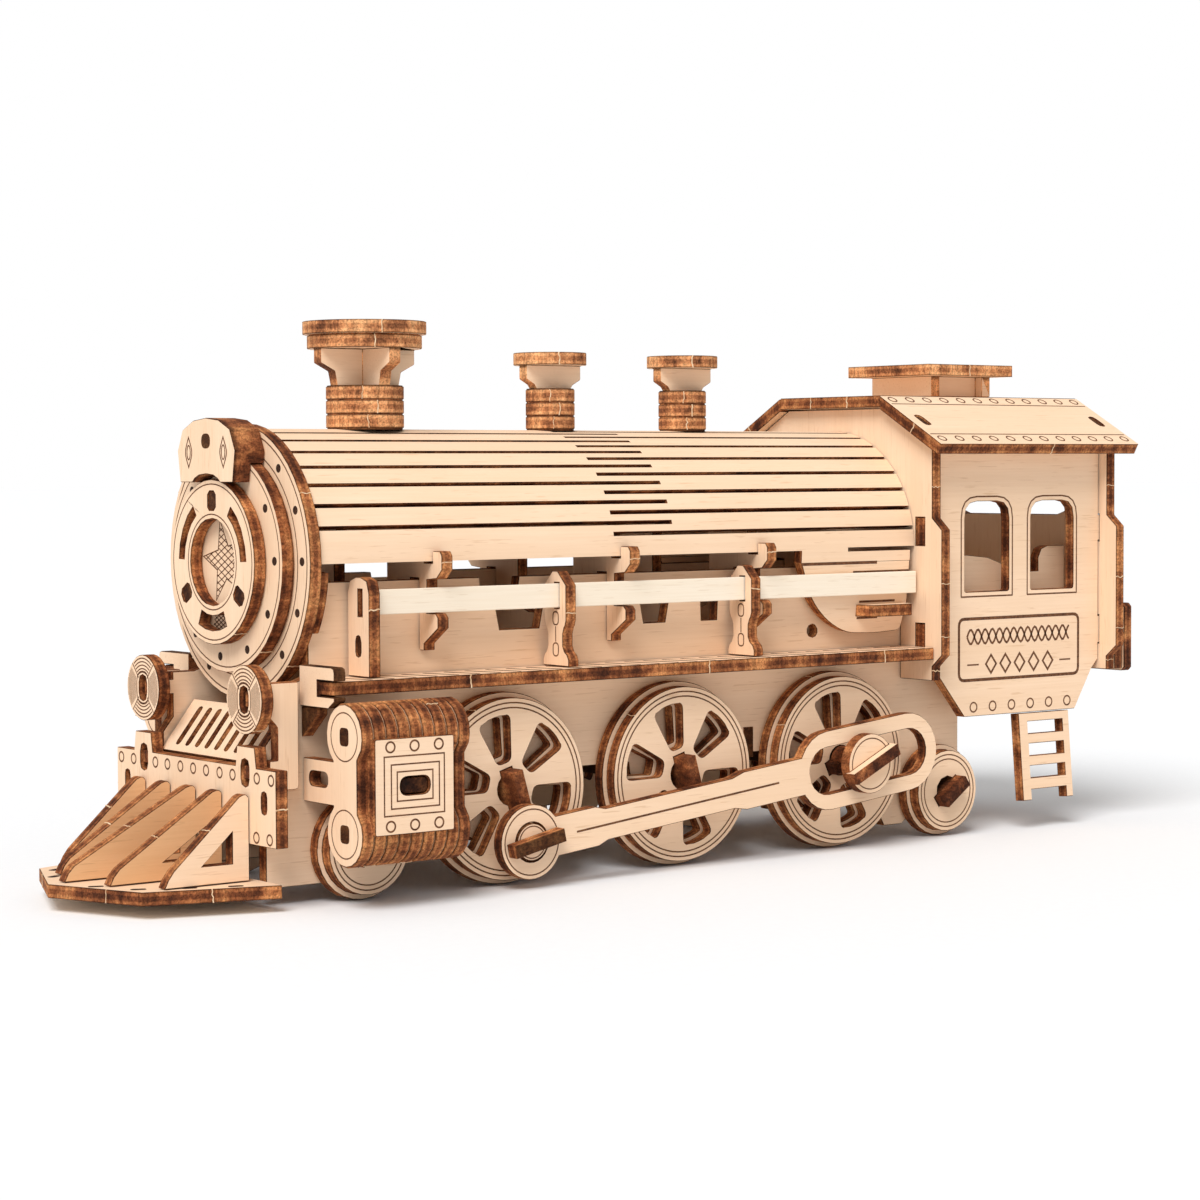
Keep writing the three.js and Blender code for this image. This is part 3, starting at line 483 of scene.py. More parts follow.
# ---- the CAD plates: birch faces and burnt edges ----
# A rule takes a CAD face's normal and its middle, and says whether it is a birch face.
def near(value, target, room=0.4):
    return abs(value - target) < room


def stack_face(n, c, x):
    """The discs' faces, and those of the crossed upright plates between them."""
    cross = 121.9 < c.z < 130.9
    return abs(n.z) > 0.9 or cross and (
        abs(n.y) > 0.9 and abs(c.y) < 2 or abs(n.x) > 0.9 and near(c.x, x, 2)
    )


def vent_face(n, c):
    """The vent's top and bottom, and the faces of its feet."""
    return abs(n.z) > 0.9 or c.z < 127 and (
        abs(n.x) > 0.9 and abs(c.y) < 12 or abs(n.y) > 0.9 and near(c.x, 119, 9.5)
    )


def headlamp_face(n, c):
    """The disc's two faces, and the sides of the post plate behind it."""
    return abs(n.x) > 0.94 if c.x < -120.05 else abs(n.y) > 0.9


def board_face(n, c):
    """The board's faces and its bracket's, not the board's end inside the notch."""
    return abs(n.z) > 0.9 if c.x > -106 else abs(n.x) > 0.9 and not near(c.x, -108.7, 0.2)


def stud_face(n, c):
    """The washer's faces, and the two faces of the tilted key beyond it."""
    t = math.radians(STUD_TILT)
    key = abs(n.z * math.cos(t) - n.x * math.sin(t)) > 0.97
    return abs(n.y) > 0.9 and near(abs(c.y), 43.4, 1.8) or key and abs(c.y) > 45.2


def truck_face(n, c):
    """The small wheels' faces, not the ends of their axle."""
    return abs(n.y) > 0.9 and abs(c.y) < 33.2


FACE_RULES = {
    "chimney": lambda n, c: stack_face(n, c, CHIMNEY_X),
    "dome_1": lambda n, c: stack_face(n, c, DOME_1_X),
    "dome_2": lambda n, c: stack_face(n, c, DOME_2_X),
    "roof_vent": vent_face,
    "drive_axle_1": lambda n, c: False,
    "drive_axle_2": lambda n, c: False,
    "drive_axle_3": stud_face,
}
# How deep a point lies in its sheet, 0 and 1 being the sheet's two faces, by its place along the
# node's normal. An upright plate inside a stack has 0.45 all over, which is its middle ply.
DISCS = ([STACK_Z, 114.8, 115.1, 118.3, 118.6, 121.8, 122.6], [0, 1, 0, 1, 0, 1, 0.45])
PLY_DEPTH = {
    "chimney": (DISCS[0] + [130.2, 131, 134.2, 134.5, 137.7], DISCS[1] + [0.45, 0, 1, 0, 1]),
    "dome_1": (DISCS[0] + [127.5, 128, 131.2], DISCS[1] + [0.45, 0, 1]),
    "roof_vent": ([121.3, 126.8, 127, 130.2], [0.45, 0.45, 0, 1]),
    "rear_board": ([154.4, 157.6, 158.3, 161.5], [0, 1, 0, 1]),
    "number_plate": ([-118.9, -115.7, -112.5, -110.8], [0, 1, 0, 0.5]),
}
PLY_DEPTH["dome_2"] = PLY_DEPTH["dome_1"]
WHEEL_PLY = ([26.6, 29.8, WHEEL_Y, 35.0], [0, 1, 0, 0.5])
for end in TRUCK_X:
    FACE_RULES["small_wheelset_" + end] = truck_face
for side in SIDES:
    FACE_RULES["headlamp_" + side] = headlamp_face
    FACE_RULES["running_board_" + side] = board_face
    PLY_DEPTH["headlamp_" + side] = ([LAMP_X, -120.1, -119.9, -111.8], [0, 1, 0.45, 0.45])
    PLY_DEPTH["running_board_" + side] = ([49.4, DECK_Z], [0, 1])
STACKS, WHEELS = ("chimney", "dome", "roof_vent"), ("drive_axle", "small_wheelset")
# the ribs behind the near one, which get painted shade with warm bounced light
SHADED_RIBS = [f"pilot_rib_{i}" for i in (2, 3, 4, 5)]
ANY_WAY = np.array([0.61, 0.53, 0.59])  # a normal that points against it is turned round


def main_normal(mesh):
    """The direction that most of a plate's area faces."""
    normals = np.array([p.normal[:] for p in mesh.polygons])
    areas = np.array([p.area for p in mesh.polygons])
    flipped = np.where((normals @ ANY_WAY < 0)[:, None], -normals, normals)
    keys = np.round(flipped, 2)
    found, index = np.unique(keys, axis=0, return_inverse=True)
    totals = np.bincount(index.ravel(), weights=areas)
    return Vector(found[totals.argmax()]).normalized()


def dress(name):
    """Gives a CAD node its two materials, its ply depth and its softened corners."""
    piece = NODES[name]
    mesh = piece.data
    if "custom_normal" in mesh.attributes:
        mesh.attributes.remove(mesh.attributes["custom_normal"])
    if name.startswith(STACKS):
        normal = Vector((0, 0, 1))
    elif name.startswith(WHEELS):
        normal = Vector((0, 1, 0))
    else:
        normal = main_normal(mesh)
    axis = max(range(3), key=lambda i: abs(normal[i]))
    is_face = FACE_RULES.get(name, lambda n, c: abs(n.dot(normal)) > 0.94)
    mesh.materials.clear()
    # handrails in the paler birch: painted highlight for their brightly lit faces
    face, edge = (LIT_RAIL_BIRCH, LIT_RAIL_BIRCH) if name.startswith("handrail") else (FACE[axis], EDGE[axis])
    # painted shade on the pilot ribs beyond the near one
    if name in SHADED_RIBS:
        face = SHADED_RIB_BIRCH
    # the stacks' edges take the lighter burn tones: painted light falling on them
    if name.startswith(STACKS):
        edge = LIT_BURNT_EDGE
    mesh.materials.append(face)
    mesh.materials.append(edge)
    index = [0 if is_face(p.normal, p.center / MM) else 1 for p in mesh.polygons]
    mesh.polygons.foreach_set("material_index", index)
    depth = np.array([v.co.dot(normal) / MM for v in mesh.vertices])
    if name.startswith(WHEELS):
        ply = np.interp(np.abs(depth), *WHEEL_PLY)
    elif name in PLY_DEPTH:
        ply = np.interp(depth, *PLY_DEPTH[name])
    else:
        ply = (depth - depth.min()) / (depth.max() - depth.min())
    mesh.attributes.new("ply", "FLOAT", "POINT").data.foreach_set("value", ply.astype(np.float32))
    soften(piece)


REPLACED = ["boiler_skin", "cylinder_left", "cylinder_right"]
REPLACED += [f"drive_wheel_{i}_{side}" for i in (1, 2, 3) for side in SIDES]
for node_name in sorted(NODES):
    if node_name not in REPLACED:
        dress(node_name)

# ---- boiler skin: bent sheet with slits, and a hanging skirt at the firebox ----
SKIN_X0, SKIN_X1 = -107.0, 82.0
SKIRT_X0, SKIRT_X1 = 41.5, 80.5
FRONT_END, REAR_START, LEVEL_START = -1.6, -20.8, 57.8  # where the slits stop and start, in x
SLIT = 1.0  # a slit's half width, in degrees
KNEE = 96.0  # degrees from the top, where the sheet stops bending and the skirt hangs straight
LEAN = math.radians(KNEE - 90)  # how far the skirt hangs inward
front_slits = [(a, SKIN_X0, FRONT_END) for a in range(15, 80, 10)]
rear_slits = [(a, REAR_START, SKIN_X1) for a in range(10, 81, 10)]
rear_slits += [(90, LEVEL_START, SKIN_X1)]
slits = [(s * a, x0, x1) for a, x0, x1 in front_slits + rear_slits for s in (-1, 1)]


def skin_present(angle, x):
    """Whether the sheet is there: not in a slit, and past level only above the skirt."""
    if abs(angle) > 90 and not SKIRT_X0 < x < SKIRT_X1:
        return False
    return not any(abs(angle - a) < SLIT and x0 < x < x1 for a, x0, x1 in slits)


def skin():
    """The bent sheet on a grid of angles and stations, with walls wherever the sheet ends."""
    b = Builder()
    marks = {-KNEE, KNEE, -90.0, 90.0} | {a + 2.5 for a in range(-90, 90, 5)}
    for a, _, _ in slits:
        marks |= {a - SLIT, a + SLIT}
    angles = sorted(marks)
    angles = [a for i, a in enumerate(angles) if i == 0 or a - angles[i - 1] > 0.2]
    stations = sorted({
        SKIN_X0, SKIN_X1, SKIRT_X0, SKIRT_X1, FRONT_END, REAR_START, LEVEL_START
    })
    ids = {}

    def vertex(i, j, k):
        if (i, j, k) not in ids:
            t, r = math.radians(angles[i]), SKIN_R - k * T
            point = (stations[j], r * math.sin(t), BOILER_Z + r * math.cos(t))
            ids[i, j, k] = b.add([point], [1.0 - k])
        return ids[i, j, k]

    def here(i, j):
        if not (0 <= i < len(angles) - 1 and 0 <= j < len(stations) - 1):
            return False
        return skin_present((angles[i] + angles[i + 1]) / 2, (stations[j] + stations[j + 1]) / 2)

    for i in range(len(angles) - 1):
        for j in range(len(stations) - 1):
            if not here(i, j):
                continue
            cell = ((i, j), (i + 1, j), (i + 1, j + 1), (i, j + 1))
            for k in (0, 1):
                b.quad([vertex(p, q, k) for p, q in cell], 0)
            for di, dj, corners in (
                (-1, 0, ((i, j), (i, j + 1))), (1, 0, ((i + 1, j), (i + 1, j + 1))),
                (0, -1, ((i, j), (i + 1, j))), (0, 1, ((i, j + 1), (i + 1, j + 1))),
            ):
                if not here(i + di, j + dj):
                    (p, q), (m, n) = corners
                    b.quad([vertex(p, q, 0), vertex(m, n, 0), vertex(m, n, 1), vertex(p, q, 1)], 1)
    return b


def skirt_face(s):
    """The skirt's outer face: distance along X, and distance down from the knee."""
    t = math.radians(KNEE)
    origin = (0, s * SKIN_R * math.sin(t), BOILER_Z + SKIN_R * math.cos(t))
    down = (0, -s * math.sin(LEAN), -math.cos(LEAN))
    out = (0, s * math.cos(LEAN), -math.sin(LEAN))
    return Face(origin, (1, 0, 0), down, out)


SKIRT = fillet(
    [(SKIRT_X1, -0.05), (SKIRT_X1, 11.3), (78.7, 19.1), (69.4, 19.6), (59.2, 19.2), (52.1, 16.0),
     (45.7, 9.9), (SKIRT_X0, -0.05)],
    [0, 1, 1.5, 2.5, 3, 4, 4, 0],
)
WEDGE = fillet([(61.8, 29.5), (79.4, 29.5), (78, 35.5), (63.5, 35.5)], [0, 0, 0.8, 0.8])
skin().make("slatted_boiler_skin", FLAT_PLATE, "chassis", "birch_face", ["boiler_skin"])
for side, s in SIDES.items():
    b = Builder().prism(skirt_face(s), SKIRT)
    b.make("firebox_skirt_" + side, SIDE_PLATE, "chassis", "birch_face", ["boiler_skin"])
    wedge = Builder().prism(top_face(64.6), [(x, s * y) for x, y in WEDGE])
    wedge.make("skirt_wedge_" + side, FLAT_PLATE, "chassis", "birch_face", ["boiler_skin"])

# ---- cylinders: nine stacked sheets and a side cover ----
def lobe(z, start, end, steps=14):
    degrees = [start + (end - start) * i / steps for i in range(steps + 1)]
    return arc(LOBE_Y, z, LOBE_R, degrees)


CYLINDER = lobe(LOBE_LOW, -230, 20) + [(49.4, 23), (49.4, 35.2)] + lobe(LOBE_HIGH, -20, 230)
ARM = [(39.5, 24.1), (45, 24.1), (45, 34.3), (26.1, 34.3), (26.1, 24.1)]
ARM_HOLE = oval(32.7, 29.75, 8.2, 3.5)
COVER = fillet(rect(-105.9, 18, -84.2, 40.1), 0.5, 2)
COVER_MIDDLE = (-94.95, 29.05)
for side, s in SIDES.items():
    node = "cylinder_" + side
    b = Builder()
    for i in range(LAYERS):
        b.prism(front_face(CYL_X0 + i * PITCH), aside(CYLINDER, s), (), -T, chamfer=0.45)
    b.make("cylinder_layers_" + side, FRONT_PLATE, "chassis", "birch_face", [node])
    b = Builder().prism(front_face(CYL_X0 + 0.02), aside(ARM, s), [aside(ARM_HOLE, s)])
    b.make("cylinder_arm_" + side, FRONT_PLATE, "chassis", "birch_face", [node])
    b = Builder().prism(side_face(s, COVER_Y), COVER, [oval(*COVER_MIDDLE, 8.3, 4.3)], -3.4)
    b.make("cylinder_cover_" + side, SIDE_PLATE, "chassis", "birch_face", [node])
    b = Builder().prism(side_face(s, 52.2), oval(*COVER_MIDDLE, 7.3, 3.4), (), -2.0, slots=(1, 1))
    for z in (LOBE_HIGH, LOBE_LOW):
        peg = fillet(rect(s * LOBE_Y - 2.0, z - 2.25, s * LOBE_Y + 2.0, z + 2.25), 1.3)
        b.prism(front_face(CYL_X0), peg, (), -1, 0.04, slots=(1, 1))
    b.make("cylinder_pegs_" + side, SIDE_PLATE, "chassis", "burnt_edge")

# ---- wheels ----
KEY_TILT = [106, 106, STUD_TILT]


def wheel_window(angle, r0, r1, half, setback):
    """A window between two spokes: its direction, its two radii and half its angle."""
    h = math.radians(half)
    outer = [polar(0, 0, r1, t) for t in np.linspace(-h, h, 7)]
    inner = [polar(0, 0, r0, t) for t in (h * 1.08, -h * 1.08)]
    cuts = [setback] + [0] * 5 + [setback] + [setback * 0.8] * 2
    return turned(fillet(outer + inner, cuts, 4), angle)


def keyhole(radius, long, thick, tilt):
    """An axle's round hole with the slot for its flat key."""
    h = thick / 2
    gap = math.asin(h / radius)
    upper = [polar(0, 0, radius, t) for t in np.linspace(gap, math.pi - gap, 7)]
    lower = [(-a, -b) for a, b in upper]
    outline = upper + [(-long / 2, h), (-long / 2, -h)] + lower + [(long / 2, -h), (long / 2, h)]
    return turned(outline, tilt)


def at_axle(loops, x):
    return [moved(loop, x, DRIVE_R) for loop in loops]


for i, x in enumerate(DRIVE_X):
    hub = keyhole(4, 10.5, 3.7, KEY_TILT[i])
    angles = [-14 + 60 * k for k in range(6)]
    face_holes = [hub] + [wheel_window(t, 7, 18.3, 15.5, 1.7) for t in angles]
    flange_holes = [hub] + [wheel_window(t, 8, 17.4, 12.5, 0.8) for t in angles]
    for side, s in SIDES.items():
        b = Builder()
        disc, flange = (ring_points(x, DRIVE_R, r, n=72) for r in (FACE_R, DRIVE_R))
        b.prism(side_face(s, WHEEL_Y), disc, at_axle(face_holes, x))
        b.prism(side_face(s, WHEEL_Y - T), flange, at_axle(flange_holes, x), -T, -0.04)
        node = f"drive_wheel_{i + 1}_{side}"
        b.make("spoked_" + node, SIDE_PLATE, f"wheelset_{i + 1}", "birch_face", [node])
        if i == 0:
            z = DRIVE_R - CRANK_R
            b = Builder().prism(side_face(s, PIN_Y), ring_points(x, z, 4.5, n=36), (), -8.95)
            key = turned(rect(x - 7.5, z - T / 2, x + 7.5, z + T / 2), 12, (x, z))
            b.prism(side_face(s, 45.5), key, (), -3.62, slots=(1, 1))
            b.make("crank_pin_" + side, SIDE_PLATE, "wheelset_1", "birch_face", [node])

# ---- engraving ----
chassis = Builder()


def rivets(b, face, spots, r=1.2):
    for a, z in spots:
        b.ring(face, a, z, r)


beam = front_face(BEAM_X)
rivets(chassis, beam, [(s * y, 30.6) for y in (6.15, 12.5, 18.5, 29.5, 35.8) for s in (-1, 1)])
rivets(chassis, beam, [(0, 30.6)] + [(s * y, 16.9) for y in (29.1, 35) for s in (-1, 1)])
for side, s in SIDES.items():
    # headlamp: arcs above and below, four spokes, an oval, and hatching at both sides of it
    lamp = front_face(LAMP_X)
    middle_y = s * LAMP_Y
    for k in range(5):
        for top in (90, 270):
            degrees = [top + d for d in np.linspace(-38, 38, 9)]
            chassis.strip(lamp, arc(middle_y, LAMP_Z, 7.2 - 0.85 * k, degrees), 0.3)
    for a in (48, 132, 228, 312):
        ends = [polar(middle_y, LAMP_Z, r, math.radians(a)) for r in (3.1, 7.7)]
        chassis.strip(lamp, ends, 0.3)
    chassis.strip(lamp, oval(middle_y, LAMP_Z, 6.0, 8.0), 0.3, True)
    for way in (-1, 1):
        for k in range(9):
            off = 3.5 + 0.46 * k
            reach = min(0.86 * off, math.sqrt(7.6 ** 2 - off ** 2)) - 0.3
            a = middle_y + way * off
            chassis.strip(lamp, [(a, LAMP_Z - reach), (a, LAMP_Z + reach)], 0.17)
# smokebox front
ring = front_face(RING_X)
chassis.ring(ring, 0, BOILER_Z, 31.6, 0.35, 72)
middle = front_face(MIDDLE_X)
chassis.ring(middle, 0, BOILER_Z, 25.2, 0.3, 64)
door = front_face(DOOR_X)
chassis.ring(door, 0, BOILER_Z, 18.6, 0.3, 60)
chassis.ring(door, 0, BOILER_Z, 11.4, 0.3, 48)
chassis.ring(ring, 0, BOILER_Z, 27.5, 0.3, 64)
# near-black patches in place of holes: painted shade inside them, with charred walls
holes = Builder()
for face, r, count in ((ring, 29.4, 15), (middle, 22.9, 11)):
    for k in range(count):
        t = 2 * math.pi * (k + 0.45) / count
        holes.spot(face, ring_points(*polar(0, BOILER_Z, r, t), 1.05, n=14))
base_top = top_face(2 * T)
for x, y, angle in ((-154.6, 10.4, 24), (-149.2, 20.6, 24), (-139.2, 26.2, 18), (-129.4, 30.2, 18)):
    for s in (-1, 1):
        slot = turned(oval(x, s * y, 3.6, 2.0), s * angle, (x, s * y))
        holes.spot(base_top, slot, 0.05)


def inside(point, outline):
    """Whether a point lies in an outline."""
    x, y = point
    hits = 0
    for (x0, y0), (x1, y1) in zip(outline, outline[1:] + outline[:1]):
        if (y0 > y) != (y1 > y) and x < x0 + (y - y0) * (x1 - x0) / (y1 - y0):
            hits += 1
    return hits % 2 == 1


def lattice(b, face, centre, outline, gap, width):
    """Diamond lattice inside an outline, its lines a gap apart."""
    step = 0.2
    for angle in (28, 152):
        way = Vector((math.cos(math.radians(angle)), math.sin(math.radians(angle))))
        off = Vector((-way.y, way.x))
        for k in range(-9, 10):
            run = []
            for m in range(-60, 61):
                p = Vector(centre) + off * (k * gap) + way * (m * step)
                if inside(p, outline):
                    run.append(tuple(p))
                elif run:
                    if len(run) > 3:
                        b.line(face, run[0], run[-1], width)
                    run = []


star = []
for k, r in enumerate([10.2, 4.1] * 5):
    t = math.radians(36 * k + 12)
    star.append((r * math.sin(t), BOILER_Z + r * math.cos(t)))
lattice(chassis, middle, (0, BOILER_Z), star, 1.5, 0.26)
chassis.strip(middle, star, 0.34, True)
grid = arc(0, BOILER_Z, 16.6, range(250, 291, 8)) + arc(0, BOILER_Z, 12.6, range(290, 249, -8))
lattice(chassis, middle, (0, BOILER_Z - 14.6), grid, 0.95, 0.26)
plate = front_face(PLATE_X)
for s in (-1, 1):
    x, z = s * 8.2, 105.6
    leaf = [(x, z + 3.6), (x + 1.9, z), (x, z - 3.6), (x - 1.9, z)]
    chassis.strip(plate, fillet(leaf, [0, 1.6, 0, 1.6]), 0.38, True)
    chassis.strip(plate, ring_points(x, z, 0.8, 1.7, 14), 0.34, True)
for s in SIDES.values():
    # cylinder lobes and cover
    for z in (LOBE_HIGH, LOBE_LOW):
        chassis.ring(front_face(CYL_X0), s * LOBE_Y, z, 5.6, 0.3, 36)
    cover = side_face(s, COVER_Y)
    rivets(chassis, cover, [(x, z) for x in (-101.7, -95.1, -88.4) for z in (38.2, 20)])
    for corners in (
        (-103.4, 22.4, -86.9, 36), (-101.5, 24, -88.3, 34.1), (-99.9, 25.7, -90.1, 32.4)
    ):
        chassis.strip(cover, rect(*corners), 0.34, True)
    # cab side
    cab = side_face(s, CAB_Y)
    for x in (97.5, 123.2):
        window = fillet(rect(x - 1.3, 65.7, x + 18.5, 93.2), [0.1, 0.1, 6, 6])
        chassis.strip(cab, window, 0.42, True)
    chassis.strip(cab, fillet(rect(95.4, 42.7, 142.5, 59.6), 2), 0.85, True)
    for swing in (2.0, -2.0):
        wave = [(98.5 + k * 0.55, 54.6 + swing * math.sin(k * 0.62)) for k in range(74)]
        chassis.strip(cab, wave, 0.6)
    for k in range(5):
        x = 118.95 + (k - 2) * 5.6
        chassis.strip(cab, [(x, 49.4), (x + 2.0, 46.9), (x, 44.4), (x - 2.0, 46.9)], 0.6, True)
    for x in (98.6, 134.9):
        chassis.strip(cab, [(x, 46.9), (x + 4.4, 46.9)], 0.42)
    rivets(chassis, cab, [(101 + 7.4 * k, 35.2) for k in range(6)], 1.3)
    # roof slope
    roof = roof_face(s)
    for d in (2.4, 24.6):
        for k in range(12):
            chassis.strip(roof, ring_points(82.5 + 6.5 * k, d, 1.25, n=20), 0.38, True, 0.07)
    for d in (4.9, 22.1):
        chassis.line(roof, (80.2, d), (156.4, d), 0.42)
    # running-board slits
    deck = top_face(DECK_Z)
    for k in range(30):
        x = -101 + 6.1 * k
        chassis.strip(deck, [(x, s * 29), (x + 3.2, s * 38.9)], 0.85, rise=0.08)
    # skirt slits and the slot round its wedge
    skirt = skirt_face(s)
    chassis.line(skirt, (41.6, 0.3), (68.5, 0.3), 0.8)
    chassis.line(skirt, (60.0, 2.9), (80.4, 2.9), 0.8)
    chassis.line(skirt, (63.0, 10.9), (76.0, 10.9), 0.6)
    chassis.line(skirt, (62.5, 15.3), (70.0, 15.3), 0.6)
    # rail posts
    for x in POSTS_X[1:]:
        post, a = front_face(x), s * 31.8
        chassis.strip(post, oval(a, 64.6, 2.2, 3.2), 0.34, True)
        chassis.line(post, (a, 62.6), (a, 58.8), 0.34)
        chassis.strip(post, oval(a, 56.9, 2.2, 3.2), 0.34, True)
chassis.make("engraved_lines", [LINE], "chassis", "burnt_edge")
holes.make("charred_spots", [HOLE_SHADE], "chassis", "burnt_edge")
for i, x in enumerate(DRIVE_X):
    b = Builder()
    for s in SIDES.values():
        for r in (21.1, 19.9):
            b.ring(side_face(s, WHEEL_Y), x, DRIVE_R, r, 0.36, 72)
        if i == 0:
            b.ring(side_face(s, PIN_Y), x, DRIVE_R - CRANK_R, 3.9, 0.3, 32)
        if i == 2:
            b.ring(side_face(s, STUD_Y), x, DRIVE_R, 6.7, 0.3, 40)
    b.make(f"engraved_wheels_{i + 1}", [LINE], f"wheelset_{i + 1}", "burnt_edge")
for end, x in TRUCK_X.items():
    b = Builder()
    for s in SIDES.values():
        for r in (9.9, 8.7):
            b.ring(side_face(s, WHEEL_Y), x, TRUCK_Z, r, 0.33, 48)
    b.make("engraved_truck_" + end, [LINE], "truck_" + end, "burnt_edge")
for side, s in SIDES.items():
    b = Builder()
    rod = side_face(s, ROD_Y)
    b.line(rod, (-40.4, 12.8), (24.9, 20.2), 0.5)
    b.ring(rod, DRIVE_X[0], DRIVE_R - CRANK_R, 8.0, 0.33, 44)
    b.make("engraved_rod_" + side, [LINE], "rod_" + side, "burnt_edge")

# ---- the plate behind the smokebox ring ----
low_half = range(-176, -3, 4)
half_ring = arc(0, BOILER_Z, 30.6, low_half) + arc(0, BOILER_Z, 26.6, reversed(low_half))
b = Builder().prism(front_face(-107.1), half_ring)
b.make("boiler_end_plate", FRONT_PLATE, "chassis", "birch_face")

# ---- pale remnants of the tabs that held each piece in its sheet ----
random.seed(5)


def nick(b, origin, along, across, out):
    """A torn sliver across a cut edge."""
    face = Face(origin, along, across, out)
    points = [(random.uniform(-0.22, 0.22), T * k / 5) for k in range(6)]
    b.strip(face, points, random.uniform(0.14, 0.32), rise=random.uniform(0.05, 0.14))


def rim_nick(b, axis, centre, radius, degrees, low):
    """A nick on a disc's rim: the disc's axis, its middle, and where it starts along the axis."""
    t = math.radians(degrees)
    out, along = [math.cos(t), math.sin(t)], [-math.sin(t), math.cos(t)]
    place = [c + radius * o for c, o in zip(centre, out)]

    def spread(pair, along_axis):
        return pair[:axis] + [along_axis] + pair[axis:]

    nick(b, spread(place, low), spread(along, 0), spread([0, 0], 1), spread(out, 0))


nicks = Builder()
for s in SIDES.values():
    # pilot base
    for (x0, y0), (x1, y1), share in (
        ((-161.5, 0), (-151, 25.5), 0.62), ((-151, 25.5), (-120.3, 35.5), 0.5)
    ):
        way = Vector((x1 - x0, s * (y1 - y0), 0)).normalized()
        place = (x0 + (x1 - x0) * share, s * (y0 + (y1 - y0) * share), T)
        nick(nicks, place, way, (0, 0, 1), (-abs(way.y), s * abs(way.x), 0))
    # roof
    way = Vector((0, ROOF_RUN * s, -ROOF_DROP)).normalized()
    z = ROOF_Z - 12.4 * ROOF_DROP / ROOF_RUN - 3.7
    for x, out in ((79.5, -1), (157.1, 1)):
        nick(nicks, (x, s * 33.0, z), way, (0, 0.48 * s, 0.87), (out, 0, 0))
        nick(nicks, (x, s * 7.5, 117.8), (0, 1, 0), (0, 0, 1), (out, 0, 0))
    edge = Vector((0, s * 0.87, -0.48))
    nick(nicks, (123.0, s * 43.3, 104.8), (1, 0, 0), (0, s * 0.48, 0.87), edge)
    # cab walls, rail posts, boiler formers, beam, running boards
    for x in (82.3, 150.9):
        for y, z in ((38.5, 96.0), (42.2, 70.0), (42.2, 55.5), (38.5, 46.2)):
            nick(nicks, (x, s * y, z), (0, 0, 1), (1, 0, 0), (0, s, 0))
    spots = [(x, 36, z) for x, z in zip(POSTS_X, (68.6, 66.0, 70.2))]
    spots += [(-75.8, 35.8, 79.2), (-19.1, 35.8, 78.8), (26, 35.8, 79.6), (BEAM_X, 37.9, 24.0)]
    for x, y, z in spots:
        nick(nicks, (x, s * y, z), (0, 0, 1), (1, 0, 0), (0, s, 0))
    for x in (-70.2, 3.4, 64.0):
        nick(nicks, (x, s * 39.5, 49.4), (1, 0, 0), (0, 0, 1), (0, s, 0))
    # cylinder sheets
    for k, degrees, z in ((1, -70, LOBE_LOW), (4, -70, LOBE_LOW), (6, 60, LOBE_HIGH)):
        t = math.radians(degrees)
        y, z = polar(LOBE_Y, z, LOBE_R, t)
        along, out = (0, -s * math.sin(t), math.cos(t)), (0, s * math.cos(t), math.sin(t))
        nick(nicks, (CYL_X0 + k * PITCH, s * y, z), along, (1, 0, 0), out)
    # smokebox discs and headlamps
    for angle, radius, low in (
        (-47, 33, RING_X), (-52, 26.5, MIDDLE_X), (-58, 19.7, DOOR_X), (30, 33, RING_X)
    ):
        rim_nick(nicks, 0, (0, BOILER_Z), radius, angle if s > 0 else 180 - angle, low)
    rim_nick(nicks, 0, (s * LAMP_Y, LAMP_Z), LAMP_R, -60 if s > 0 else 240, LAMP_X)
CAP = (9.5, 128, (-112, 66))
for x, base, caps in (
    (CHIMNEY_X, 9.6, [(14.2, 131, (-112, 66)), (15.3, 134.5, (-107, 75))]),
    (DOME_1_X, 6.4, [CAP]),
    (DOME_2_X, 6.4, [CAP]),
):
    for k, angle in enumerate((-118, -104, -126)):
        rim_nick(nicks, 2, (x, 0), base, angle, STACK_Z + 3.5 * k)
    for radius, low, angles in caps:
        for angle in angles:
            rim_nick(nicks, 2, (x, 0), radius, angle, low)
# pilot ribs: a tip's x, and how far up the rib's slope its nick is
for k, (tip, share) in enumerate(
    ((-145.5, 0.55), (-152.8, 0.42), (-158, 0.5), (-152.8, 0.46), (-145.5, 0.6))
):
    run, rise = RIB_BACK - tip - 1.5, RIB_HIGH - RIB_LOW
    lean = Vector((run, 0, rise)).normalized()
    place = (tip + 1.5 + share * run, (k - 2) * RIB_PITCH - T / 2, RIB_LOW + share * rise)
    nick(nicks, place, lean, (0, 1, 0), (-lean.z, 0, lean.x))
for y in (-16.7, 16.7):
    nick(nicks, (118.0, y, 127), (1, 0, 0), (0, 0, 1), (0, math.copysign(1, y), 0))
nicks.make("tab_nicks", [NICK], "chassis", "pale_strip")
for i, x in enumerate(DRIVE_X):
    b = Builder()
    for s in SIDES.values():
        for radius, inner, degrees in (
            (FACE_R, 29.8, 118), (DRIVE_R, 26.6, 74), (FACE_R, 29.8, -62)
        ):
            low = inner if s > 0 else -inner - T
            rim_nick(b, 1, (x, DRIVE_R), radius, degrees + 17 * i, low)
    b.make(f"wheel_nicks_{i + 1}", [NICK], f"wheelset_{i + 1}", "pale_strip")

